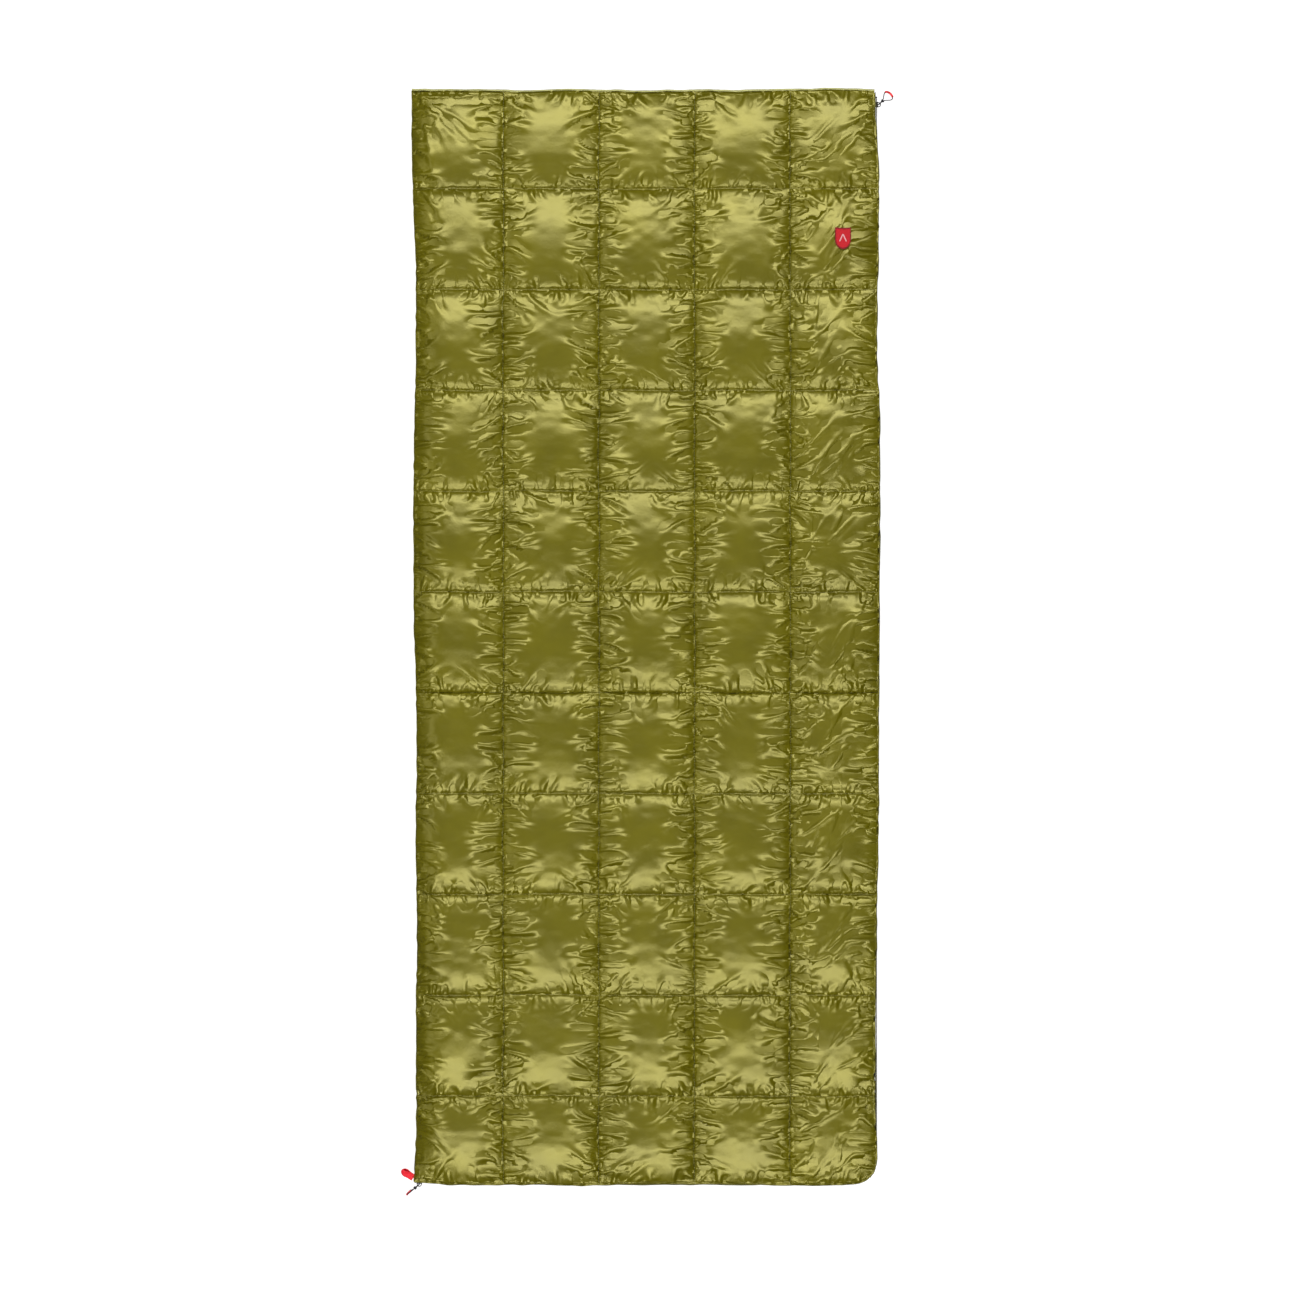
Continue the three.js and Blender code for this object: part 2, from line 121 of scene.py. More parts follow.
def add_lights():
    """Two long soft boxes over the head and the foot, which the glossy cloth mirrors, a weaker one on
    the fold's side, and a dim sky."""
    add_area_light("head_box", (0.0, 1.75, 2.6), (0, 0.4, 0), (3.8, 0.9), 118)
    add_area_light("foot_box", (0.0, -1.75, 2.6), (0, -0.4, 0), (3.8, 0.9), 100)
    add_area_light("fold_box", (-2.6, 0.0, 1.75), (-0.4, 0, 0), (2.6, 0.8), 14)
    world = bpy.data.worlds.new("studio")
    world.use_nodes = True
    world.node_tree.nodes["Background"].inputs["Color"].default_value = (1, 1, 1, 1)
    world.node_tree.nodes["Background"].inputs["Strength"].default_value = 0.015
    bpy.context.scene.world = world
    bpy.context.scene.view_settings.view_transform = "Standard"


# ---- Mesh helpers ----
def mesh_piece(name, vertices, quads, material, caps=()):
    """An object from vertices, four-cornered faces, and any faces with other numbers of corners."""
    vertices = np.asarray(vertices, np.float32).reshape(-1, 3)
    quads = np.asarray(quads, np.int32).reshape(-1, 4)
    corners = np.concatenate([quads.ravel(), *(np.asarray(cap, np.int32) for cap in caps)])
    sizes = np.array([4] * len(quads) + [len(cap) for cap in caps], np.int32)
    mesh = bpy.data.meshes.new(name)
    mesh.vertices.add(len(vertices))
    mesh.vertices.foreach_set("co", vertices.ravel())
    mesh.loops.add(len(corners))
    mesh.loops.foreach_set("vertex_index", corners)
    mesh.polygons.add(len(sizes))
    mesh.polygons.foreach_set("loop_start", np.concatenate([[0], np.cumsum(sizes)[:-1]]).astype(np.int32))
    mesh.polygons.foreach_set("loop_total", sizes)
    mesh.update(calc_edges=True)
    mesh.validate()
    mesh.materials.append(material)
    mesh.shade_smooth()
    piece = bpy.data.objects.new(name, mesh)
    bpy.context.collection.objects.link(piece)
    return piece


def grid_faces(rows, columns, close_columns=False, close_rows=False):
    """Quads of a grid of vertices, stored row by row. Its columns or rows can close on themselves."""
    r, c = np.meshgrid(
        np.arange(rows - (not close_rows)), np.arange(columns - (not close_columns)), indexing="ij"
    )
    r, c = r.ravel(), c.ravel()
    next_r, next_c = (r + 1) % rows, (c + 1) % columns
    corners = [r * columns + c, r * columns + next_c, next_r * columns + next_c, next_r * columns + c]
    return np.stack(corners, 1)


def grid_rim(index):
    """The vertices round a grid, anticlockwise."""
    return np.concatenate([index[0, :-1], index[:-1, -1], index[-1, :0:-1], index[:0:-1, 0]])


def closed_slab(outer, inner):
    """Vertices and quads of the closed body between two grids of the same shape. outer faces out
    where its rows and columns turn anticlockwise."""
    rows, columns = outer.shape[:2]
    count = rows * columns
    top = grid_faces(rows, columns)
    rim = grid_rim(np.arange(count).reshape(rows, columns))
    after = np.roll(rim, -1)
    walls = np.stack([rim + count, after + count, after, rim], 1)
    vertices = np.concatenate([outer.reshape(-1, 3), inner.reshape(-1, 3)])
    return vertices, np.concatenate([top, top[:, ::-1] + count, walls])


def backed_cloth(outer, inner, step, up):
    """The closed body of a fine grid and a back of larger faces, several grid steps wide. The fine
    grid faces up or down, as up is 1 or -1."""
    rows, columns = outer.shape[:2]
    count = rows * columns
    index = np.arange(count).reshape(rows, columns)
    r_stops, c_stops = (
        np.unique(np.append(np.arange(0, size - 1, step), size - 1)) for size in (rows, columns)
    )
    rim = grid_rim(index)
    kept = np.zeros(count, bool)
    kept[rim] = True
    kept[index[np.ix_(r_stops, c_stops)].ravel()] = True
    number = np.cumsum(kept) - 1 + count
    walls = np.stack([number[rim], number[np.roll(rim, -1)], np.roll(rim, -1), rim], 1)
    quads, caps = [], []
    for r0, r1 in zip(r_stops, r_stops[1:]):
        for c0, c1 in zip(c_stops, c_stops[1:]):
            low = index[r0, c0:c1] if r0 == 0 else index[r0, c0:c0 + 1]
            right = index[r0:r1, c1] if c1 == columns - 1 else index[r0:r0 + 1, c1]
            high = index[r1, c1:c0:-1] if r1 == rows - 1 else index[r1, c1:c1 + 1]
            left = index[r1:r0:-1, c0] if c0 == 0 else index[r1:r1 + 1, c0]
            face = number[np.concatenate([low, right, high, left])][::-1]
            (quads if len(face) == 4 else caps).append(face)
    vertices = np.concatenate([outer.reshape(-1, 3), inner.reshape(-1, 3)[kept]])
    quads = np.concatenate([grid_faces(rows, columns), walls, *([quads] if quads else [])])
    return vertices, quads[:, ::up], [cap[::up] for cap in caps]


def surface_normals(points):
    normal = np.cross(np.gradient(points, axis=1), np.gradient(points, axis=0))
    return normal / (np.linalg.norm(normal, axis=2, keepdims=True) + 1e-12)


def frames_along(path, closed=False):
    """Unit tangent, and two normals that turn as little as they can, at each point of a path."""
    path = np.asarray(path, float)
    ahead = np.roll(path, -1, 0) - np.roll(path, 1, 0)
    if not closed:
        ahead[0], ahead[-1] = path[1] - path[0], path[-1] - path[-2]
    tangent = ahead / np.linalg.norm(ahead, axis=1, keepdims=True)
    start = np.cross(tangent[0], (0, 0, 1)) if abs(tangent[0][2]) < 0.9 else np.cross(tangent[0], (1, 0, 0))
    side = np.empty_like(path)
    side[0] = start / np.linalg.norm(start)
    for i in range(1, len(path)):
        turned = side[i - 1] - tangent[i] * np.dot(side[i - 1], tangent[i])
        side[i] = turned / np.linalg.norm(turned)
    return tangent, side, np.cross(tangent, side)


def swept(path, section, closed=False, up=None):
    """Vertices and quads of a section, as a list of [side, up] points or one list for each step,
    carried along a path."""
    path = np.asarray(path, float)
    tangent, side, lift = frames_along(path, closed)
    if up is not None:
        side = np.cross(tangent, up)
        side /= np.linalg.norm(side, axis=1, keepdims=True)
        lift = np.cross(side, tangent)
    section = np.broadcast_to(np.asarray(section, float), (len(path), *np.shape(section)[-2:]))
    vertices = path[:, None] + side[:, None] * section[..., :1] + lift[:, None] * section[..., 1:]
    count = section.shape[1]
    quads = grid_faces(len(path), count, close_columns=True, close_rows=closed)
    caps = []
    if not closed:
        last = (len(path) - 1) * count
        caps = [np.arange(count)[::-1], np.arange(last, last + count)]
    return vertices.reshape(-1, 3), quads, caps


def full_turn(steps):
    """Evenly spaced angles round a circle."""
    return np.arange(steps) * 2 * math.pi / steps


def circle(radius, sides):
    angle = full_turn(sides)
    return np.stack([radius * np.cos(angle), radius * np.sin(angle)], 1)


def braid(path, radius, material, name, closed=False):
    """A round braided cord: its strands cross in a diamond pattern."""
    angle = full_turn(24)
    along = np.arange(len(path))[:, None] * 0.9
    weave = np.cos(4 * angle[None, :] + along) * np.cos(4 * angle[None, :] - along)
    size = radius * (0.97 + 0.07 * weave)
    section = np.stack([size * np.cos(angle), size * np.sin(angle)], -1)
    vertices, quads, caps = swept(path, section, closed)
    return mesh_piece(name, vertices, quads, material, caps)


def joined(name, parts, material):
    """One object out of several (vertices, quads, caps) parts."""
    vertices, quads, caps, count = [], [], [], 0
    for part in parts:
        more_vertices, more_quads, more_caps = (*part, [])[:3]
        vertices.append(np.reshape(more_vertices, (-1, 3)))
        quads.append(np.reshape(more_quads, (-1, 4)) + count)
        caps += [np.asarray(cap) + count for cap in more_caps]
        count += len(vertices[-1])
    return mesh_piece(name, np.concatenate(vertices), np.concatenate(quads), material, caps)


def distances(path):
    """How far along a path each of its points lies."""
    return np.concatenate([[0], np.cumsum(np.linalg.norm(np.diff(path, axis=0), axis=1))])


def at_distances(wanted, along, values):
    """What values that belong to the points of a path come to at other distances along it."""
    return np.stack([np.interp(wanted, along, column) for column in values.T], 1)


def smooth_path(points, count):
    """Evenly spaced points on the Catmull-Rom curve through the given ones."""
    points = np.asarray(points, float)
    padded = np.concatenate([[2 * points[0] - points[1]], points, [2 * points[-1] - points[-2]]])
    t = np.linspace(0, 1, 12, endpoint=False)[:, None]
    curve = []
    for a, b, c, d in zip(padded, padded[1:], padded[2:], padded[3:]):
        curve.append(
            0.5 * (2 * b + (c - a) * t + (2 * a - 5 * b + 4 * c - d) * t**2 + (3 * b - a - 3 * c + d) * t**3)
        )
    curve = np.concatenate([*curve, points[-1:]])
    along = distances(curve)
    return at_distances(np.linspace(0, along[-1], count), along, curve)


def path_length(path):
    return float(np.linalg.norm(np.diff(path, axis=0), axis=1).sum())


def smooth_noise(rng, shape, cells):
    """Value noise from -1 to 1 on a grid, with the given number of waves down and across."""
    rows, columns = cells
    coarse = rng.uniform(-1, 1, (rows + 1, columns + 1))
    y, x = np.linspace(0, rows, shape[0]), np.linspace(0, columns, shape[1])
    iy, ix = np.minimum(y.astype(int), rows - 1), np.minimum(x.astype(int), columns - 1)
    fy, fx = (f * f * (3 - 2 * f) for f in (y - iy, x - ix))
    low = coarse[np.ix_(iy, ix)] * (1 - fx) + coarse[np.ix_(iy, ix + 1)] * fx
    high = coarse[np.ix_(iy + 1, ix)] * (1 - fx) + coarse[np.ix_(iy + 1, ix + 1)] * fx
    return low * (1 - fy)[:, None] + high * fy[:, None]


# ---- Cloth of one quilted face ----
# A face is a grid of points, rows from foot to head and columns from fold to zip. Its heights are
# measured from the layer's seam plane, away from the layer. The cloth is held at the seams and lies
# on pillows of down. It is cut larger than the pillows near the seams, so it puckers there.
CROWN = 15.5 * MM
# How far a pillow's fullness and its lean go from the mean, as shares of its height.
FULLNESS = (0.86, 1.08)
LEAN = 0.16
# Extra cloth near a column seam and near a row seam: its share at the seam, the distance over which
# it fades, and its share everywhere.
EXTRA_ALONG = (0.035, 24 * MM, 0.006)
EXTRA_ACROSS = (0.02, 18 * MM, 0.004)
COLUMN_EDGES = [FOLD_X, *COLUMN_SEAMS, EDGE_X]
ROW_EDGES = [FOOT_Y, *ROW_SEAMS, HEAD_Y]
HEM = 3 * MM
# Near the fold a layer's edge drops to the plane where the layers meet.
FOLD_REACH = 55 * MM
FOLD_DROP = 13.4 * MM
LAYER_HALF = 14 * MM
LINING_SHIFT = 2.5 * MM
LEVEL_CORNER = 60 * MM
HEAD_REACH = 40 * MM
# The edges stray over this distance, and the seams wander less over that one.
STRAY_REACH = 60 * MM
WANDER_REACH = 50 * MM
# Folds along a chamber's side on a column seam and on a row seam, and how many of them are bold.
SIDE_FOLDS = (32, 22)
BOLD_FOLDS = (13, 9)
# How a bold and a fine fold are drawn: its angle's spread in degrees, then the ranges of its length
# and width in millimetres and of its size as a share of its width, and the share of each of these
# three that is left on a row seam.
BOLD = (17, [(28, 80), (5.0, 9.4), (0.55, 0.95)], (0.55, 0.75, 1.0))
FINE = (12, [(10, 28), (1.9, 3.2), (0.4, 0.75)], (0.7, 1.0, 0.7))
# The chamber with a fan of long folds, and how many there are. The chambers along the zip have
# slanted folds.
FAN_CHAMBER = (len(ROW_EDGES) - 2, 0)
FAN_FOLDS = 8
ZIP_COLUMN = len(COLUMN_EDGES) - 2
ZIP_FOLDS = 7
# Folds that pile up level off at this height.
FOLD_LIMIT = 5.0 * MM
# How much closer together the grid lines are at the seams, across and along.
CROWDING = (0.45, 0.25)


def line_shares(per_chamber, crowding):
    """Where grid lines lie in a chamber, from 0 to 1. They are closest together at its seams."""
    share = np.arange(per_chamber) / per_chamber
    return share - crowding * np.sin(2 * math.pi * share) / (2 * math.pi)


def grid_lines(edges, per_chamber, crowding):
    """The coordinate of each grid line, with the same number of lines in every chamber."""
    lines = [a + (b - a) * line_shares(per_chamber, crowding) for a, b in zip(edges, edges[1:])]
    return np.append(np.concatenate(lines), edges[-1])


def smoothstep(value):
    value = np.clip(value, 0, 1)
    return value * value * (3 - 2 * value)


def stray(table, place):
    """How far an edge strays at a place along it, in metres."""
    at, size = np.array(table).T * MM
    return np.interp(place, at, size)


class Face:
    """One quilted face. Its points are settled into the shape that the cloth takes."""

    def __init__(self, across, along, seed, inward=False):
        self.across, self.along = across, along
        self.inward = inward
        self.rng = np.random.default_rng(seed)
        self.x = grid_lines(COLUMN_EDGES, across, CROWDING[0])
        self.y = grid_lines(ROW_EDGES, along, CROWDING[1])
        self.shape = (len(self.y), len(self.x))
        self.seed_shapes()

    def noise(self, wave_along, wave_across, size):
        """Noise of the given wavelengths and height, in metres."""
        cells = (round((HEAD_Y - FOOT_Y) / wave_along * 2), round((EDGE_X - FOLD_X) / wave_across * 2))
        return smooth_noise(self.rng, self.shape, (max(cells[0], 1), max(cells[1], 1))) * size

    def seed_shapes(self):
        """The pillows of down under the cloth, the lines it is held along, and its puckers' seeds."""
        rng = self.rng
        x, y = np.meshgrid(self.x, self.y)
        u = line_shares(self.across, CROWDING[0])[np.arange(self.shape[1]) % self.across][None, :]
        v = line_shares(self.along, CROWDING[1])[np.arange(self.shape[0]) % self.along][:, None]
        width = np.repeat(np.diff(COLUMN_EDGES), self.across)
        height = np.repeat(np.diff(ROW_EDGES), self.along)
        width, height = np.append(width, width[-1])[None, :], np.append(height, height[-1])[:, None]
        self.from_column = np.minimum(u, 1 - u) * width + 0 * y
        self.from_row = np.minimum(v, 1 - v) * height + 0 * x
        # Each pillow has its own fullness and leans its own way.
        full = rng.uniform(*FULLNESS, (len(ROW_EDGES) - 1, len(COLUMN_EDGES) - 1))
        lean = rng.uniform(-LEAN, LEAN, (2, *full.shape))
        spread = np.ones((self.along, self.across))
        full, lean_u, lean_v = (
            np.pad(np.kron(cells, spread), ((0, 1), (0, 1)), mode="edge") for cells in (full, *lean)
        )
        side_u = 1 - (2 * u - 1) ** 2
        side_v = 1 - (2 * v - 1) ** 2
        tilt = 1 + lean_u * (2 * u - 1) + lean_v * (2 * v - 1)
        pillow = side_u**0.62 * side_v**0.55 * full * tilt
        lumps = self.noise(0.16, 0.16, 2.0 * MM) + self.noise(0.07, 0.08, 1.5 * MM)
        lumps = lumps + self.noise(0.035, 0.04, 0.6 * MM) + self.noise(0.018, 0.02, 0.3 * MM)
        pillow = pillow * (CROWN + lumps)
        near_seam = np.minimum(self.from_column, self.from_row)
        folds = self.folds() * np.clip((near_seam + 1 * MM) / (3 * MM), 0, 1)
        dome = np.maximum(pillow + folds, 0.4 * pillow)
        inner = (near_seam > 0.5 * MM)[1:-1, 1:-1]
        for _ in range(3):
            cross = (dome[:-2, 1:-1] + dome[2:, 1:-1] + dome[1:-1, :-2] + dome[1:-1, 2:]) / 4
            dome[1:-1, 1:-1] += 0.5 * (cross - dome[1:-1, 1:-1]) * inner
        to_fold = np.clip(1 - (x - FOLD_X) / FOLD_REACH, 0, 1)
        level = smoothstep((y - FOOT_Y) / LEVEL_CORNER)
        drop = FOLD_DROP * to_fold**2.2
        if self.inward:
            # A lining rises faster than the outer shell sinks, but meets it at the head.
            from_head = smoothstep((HEAD_Y - y) / HEAD_REACH)
            sunk = (from_head * LAYER_HALF * smoothstep(to_fold * 1.6) + (1 - from_head) * drop) * level
            dome = np.minimum(dome + sunk, LAYER_HALF)
            x = x + LINING_SHIFT * to_fold
        else:
            sunk = -drop * level
            dome += sunk
        self.pillow = dome
        self.held = np.zeros(self.shape, bool)
        self.held[:: self.along] = True
        self.held[:, :: self.across] = True
        near_zip = self.x[-1] - self.x < HEM
        near_ends = (self.y - FOOT_Y < HEM) | (HEAD_Y - self.y < HEM)
        flat_edge = near_zip[None, :] | near_ends[:, None]
        wave = np.exp(-self.from_column / 0.012)
        fine_wave = np.exp(-self.from_row / 0.008)
        seed = wave * self.noise(0.007, 0.03, 0.6 * MM) + fine_wave * self.noise(0.03, 0.008, 0.5 * MM)
        start = np.where(flat_edge, sunk + seed * 0.5, self.pillow + seed)
        seam = sunk + self.noise(0.01, 0.01, 0.35 * MM)
        start = np.where(self.held, seam, start)
        # The seams wander, and the outline isn't straight.
        from_edge = np.minimum.reduce([x - FOLD_X, EDGE_X - x, y - FOOT_Y, HEAD_Y - y])
        inside = smoothstep(from_edge / WANDER_REACH)
        x = x + inside * (self.noise(0.11, 0.4, 1.3 * MM) + self.noise(0.022, 0.3, 0.7 * MM))
        y = y + inside * (self.noise(0.4, 0.12, 1.2 * MM) + self.noise(0.3, 0.02, 0.5 * MM))
        x += (1 - inside) * (self.noise(0.16, 0.8, 0.6 * MM) + self.noise(0.022, 0.5, 1.0 * MM))
        y += (1 - inside) * (self.noise(0.8, 0.12, 1.0 * MM) + self.noise(0.5, 0.03, 0.6 * MM))
        # The corner between foot and zip is round: squares round it become quarter circles.
        out_x, out_y = x - (EDGE_X - CORNER_R), (FOOT_Y + CORNER_R) - y
        in_corner = (out_x > 0) & (out_y > 0)
        pull = np.maximum(out_x, out_y) / np.maximum(np.hypot(out_x, out_y), 1e-9)
        x = np.where(in_corner, EDGE_X - CORNER_R + out_x * pull, x)
        y = np.where(in_corner, FOOT_Y + CORNER_R - out_y * pull, y)
        at_fold, at_zip = (smoothstep(1 - gap / STRAY_REACH) for gap in (x - FOLD_X, EDGE_X - x))
        x = x + stray(FOLD_STRAY, y) * at_fold + stray(ZIP_STRAY, y) * at_zip
        y = y - stray(FOOT_STRAY, x) * smoothstep(1 - (y - FOOT_Y) / STRAY_REACH)
        y = y + stray(HEAD_STRAY, x) * smoothstep(1 - (HEAD_Y - y) / STRAY_REACH)
        self.plan = np.stack([x, y], -1).astype(np.float32)
        self.points = np.stack([x, y, start], -1).astype(np.float32)
        self.pillow = np.where(flat_edge, sunk, self.pillow).astype(np.float32)

    def folds(self):
        """The gathers along the seams: ridges and furrows that run from a seam into a chamber."""
        height = np.zeros(self.shape)
        for row, (south, north) in enumerate(zip(ROW_EDGES, ROW_EDGES[1:])):
            for column, (west, east) in enumerate(zip(COLUMN_EDGES, COLUMN_EDGES[1:])):
                self.side_folds(height, west, east, south, north)
                fan = (row, column) == FAN_CHAMBER
                self.long_folds(height, west, east, south, north, fan)
                if column == ZIP_COLUMN:
                    self.zip_folds(height, west, east, south, north)
        return FOLD_LIMIT * np.tanh(height / FOLD_LIMIT)

    def side_folds(self, height, west, east, south, north):
        """Many small folds along the four sides of a chamber."""
        rng = self.rng
        middle_x, middle_y = (west + east) / 2, (south + north) / 2
        for at_x, at_y, turn in ((west, None, 0), (east, None, 180), (None, south, 90), (None, north, 270)):
            on_row = at_x is None
            for fold in range(SIDE_FOLDS[on_row]):
                share = rng.uniform(0.02, 0.98)
                x0 = west + share * (east - west) if on_row else at_x
                y0 = at_y if on_row else south + share * (north - south)
                to_middle = math.degrees(math.atan2(middle_y - y0, middle_x - x0))
                off = (to_middle - turn + 180) % 360 - 180
                near_corner = abs(share - 0.5) * 2
                spread, ranges, row_shares = BOLD if fold < BOLD_FOLDS[on_row] else FINE
                angle = turn + off * rng.uniform(-0.3, 0.8) * near_corner + rng.normal(0, spread)
                left = row_shares if on_row else (1, 1, 1)
                length, width, size = (rng.uniform(*ends) * share for ends, share in zip(ranges, left))
                width *= MM
                self.add_fold(height, x0, y0, angle, length * MM, width, size * width)

    def long_folds(self, height, west, east, south, north, fan):
        """A few big folds that run slantwise from near a corner, or a fan of them from the fold."""
        rng = self.rng
        middle_x, middle_y = (west + east) / 2, (south + north) / 2
        for fold in range(FAN_FOLDS if fan else rng.integers(3, 6)):
            x0, y0 = (west, east)[rng.integers(2)], (south, north)[rng.integers(2)]
            x0 += (middle_x - x0) * rng.uniform(0, 0.5)
            angle = math.degrees(math.atan2(middle_y - y0, middle_x - x0)) + rng.normal(0, 16)
            length = rng.uniform(50, 95) * MM
            if fan:
                x0, y0 = west + rng.uniform(4, 16) * MM, north - rng.uniform(4, 12) * MM
                angle, length = -10 - 10 * fold + rng.normal(0, 3), rng.uniform(110, 190) * MM
            width = rng.uniform(4.5, 8) * MM
            size = (0.5 if fan else rng.uniform(0.28, 0.6)) * width
            self.add_fold(height, x0, y0, angle, length, width, size)

    def zip_folds(self, height, west, east, south, north):
        """The chambers along the zip are drawn slantwise, up towards it."""
        rng = self.rng
        for _ in range(ZIP_FOLDS):
            x0 = west + rng.uniform(0.05, 0.6) * (east - west)
            y0 = south + rng.uniform(0, 0.6) * (north - south)
            width = rng.uniform(4, 7) * MM
            length = rng.uniform(60, 120) * MM
            self.add_fold(height, x0, y0, rng.normal(50, 14), length, width, 0.45 * width)

    def add_fold(self, height, x0, y0, angle, length, width, size):
        """One ridge with a furrow beside it. It starts at a seam, widens, bends and ends bluntly."""
        bend, side = self.rng.normal(0, 0.16) * length, self.rng.choice((-1, 1))
        cos, sin = math.cos(math.radians(angle)), math.sin(math.radians(angle))
        margin = 3.5 * width + abs(bend)
        x1, y1 = x0 + cos * length, y0 + sin * length
        rows = slice(*np.searchsorted(self.y, (min(y0, y1) - margin, max(y0, y1) + margin)))
        columns = slice(*np.searchsorted(self.x, (min(x0, x1) - margin, max(x0, x1) + margin)))
        gap_x, gap_y = self.x[columns][None, :] - x0, self.y[rows][:, None] - y0
        share = (gap_x * cos + gap_y * sin) / length
        inside = np.clip(share, 0, 1)
        across = (gap_y * cos - gap_x * sin - bend * inside**2) / (width * (0.38 + 0.85 * inside))
        fade = np.clip(share * 9 + 0.5, 0, 1) * (0.5 + 0.5 * np.cos(math.pi * inside**1.25))
        ridge = np.exp(-np.abs(across) ** 1.8) - 0.8 * np.exp(-np.abs(across - 1.45 * side) ** 1.9)
        height[rows, columns] += size * fade * ridge

    def relax(self, first, second, rest, stiffness, only_short=False):
        """Move points towards their rest distance from each other."""
        points, free = self.points, self.free
        gap = points[second] - points[first]
        length = np.sqrt(np.einsum("ijk,ijk->ij", gap, gap)) + 1e-9
        share = 1 - rest / length
        if only_short:
            share = np.minimum(share, 0)
        free_first, free_second = free[first], free[second]
        share *= stiffness / np.maximum(free_first + free_second, 1)
        gap *= share[..., None]
        points[first] += gap * free_first[..., None]
        points[second] -= gap * free_second[..., None]

    def settle(self, steps, bed=0.02, bend=0.10, shear=0.3):
        """Press the cloth up against the down, keeping its threads' lengths."""
        rows, columns = self.shape
        self.free = (~self.held).astype(np.float32)
        surface = np.concatenate([self.plan, self.pillow[..., None]], -1)
        extra_along, extra_across = (
            most * np.exp(-from_seam / reach) + least
            for (most, reach, least), from_seam in zip(
                (EXTRA_ALONG, EXTRA_ACROSS), (self.from_column, self.from_row)
            )
        )
        extra_along = extra_along * (1 + self.noise(0.09, 0.12, 0.45))
        extra_across = extra_across * (1 + self.noise(0.12, 0.09, 0.45))
        across = np.linalg.norm(np.diff(surface, axis=1), axis=2) * (1 + extra_across[:, :-1])
        along = np.linalg.norm(np.diff(surface, axis=0), axis=2) * (1 + extra_along[:-1])
        across, along = across.astype(np.float32), along.astype(np.float32)
        slant = np.sqrt(across[:-1] ** 2 + along[:, :-1] ** 2)
        every = np.s_[:]
        rise = self.free * np.float32(bed)
        for _ in range(steps):
            self.points[..., 2] += (self.pillow - self.points[..., 2]) * rise
            for start in range(4):
                a, b = (every, np.s_[start : columns - 2 : 4]), (every, np.s_[start + 2 : columns : 4])
                self.relax(a, b, 2 * across[a], bend, only_short=True)
                a, b = (np.s_[start : rows - 2 : 4], every), (np.s_[start + 2 : rows : 4], every)
                self.relax(a, b, 2 * along[a], bend, only_short=True)
            for start in (0, 1):
                low, high = np.s_[start : rows - 1 : 2], np.s_[start + 1 : rows : 2]
                self.relax((low, np.s_[:-1]), (high, np.s_[1:]), slant[low], shear)
                self.relax((low, np.s_[1:]), (high, np.s_[:-1]), slant[low], shear)
            for start in (0, 1):
                a, b = (every, np.s_[start : columns - 1 : 2]), (every, np.s_[start + 1 : columns : 2])
                self.relax(a, b, across[a], 1.0)
                a, b = (np.s_[start : rows - 1 : 2], every), (np.s_[start + 1 : rows : 2], every)
                self.relax(a, b, along[a], 1.0)


def quilted_face(seed, fineness=1.0, inward=False):
    """fineness is the share of the full grid's lines."""
    face = Face(round(84 * fineness), round(128 * fineness), seed, inward)
    face.settle(60)
    return face


# ---- Materials ----
def add_node(tree, kind, **settings):
    node = tree.nodes.new(kind)
    for key, value in settings.items():
        if key in node.inputs:
            node.inputs[key].default_value = value
        else:
            setattr(node, key, value)
    return node


def node_material(name, roughness):
    """A new material, its nodes, its shader and the socket with the object's own coordinates."""
    material = bpy.data.materials.new(name)
    material.use_nodes = True
    tree = material.node_tree
    shader = tree.nodes["Principled BSDF"]
    shader.inputs["Roughness"].default_value = roughness
    return material, tree, shader, add_node(tree, "ShaderNodeTexCoord").outputs["Object"]


def pattern(tree, place, kind, **settings):
    """The value of a texture node that is laid out by the coordinates in place."""
    node = add_node(tree, f"ShaderNodeTex{kind}", **settings)
    tree.links.new(place, node.inputs["Vector"])
    return node.outputs["Fac"]


def stripes(tree, place, direction, **settings):
    return pattern(tree, place, "Wave", wave_type="BANDS", bands_direction=direction, **settings)


def calculated(tree, operation, first, second):
    """A socket with two values multiplied or added. The second can be a number."""
    node = add_node(tree, "ShaderNodeMath", operation=operation)
    tree.links.new(first, node.inputs[0])
    if isinstance(second, float):
        node.inputs[1].default_value = second
    else:
        tree.links.new(second, node.inputs[1])
    return node.outputs[0]


def color_by(tree, shader, value, dark, light, low=0.0, high=1.0):
    """Base colour that goes from dark to light while a value goes from low to high."""
    ramp = add_node(tree, "ShaderNodeValToRGB")
    for element, position, color in zip(ramp.color_ramp.elements, (low, high), (dark, light)):
        element.position, element.color = position, (*color, 1)
    tree.links.new(value, ramp.inputs["Fac"])
    tree.links.new(ramp.outputs["Color"], shader.inputs["Base Color"])


def bumped(tree, shader, height, strength, distance, under=None):
    """Relief from a height, on top of any other relief. Returns its normal."""
    bump = add_node(tree, "ShaderNodeBump", Strength=strength, Distance=distance)
    tree.links.new(height, bump.inputs["Height"])
    if under:
        tree.links.new(under, bump.inputs["Normal"])
    tree.links.new(bump.outputs["Normal"], shader.inputs["Normal"])
    return bump.outputs["Normal"]


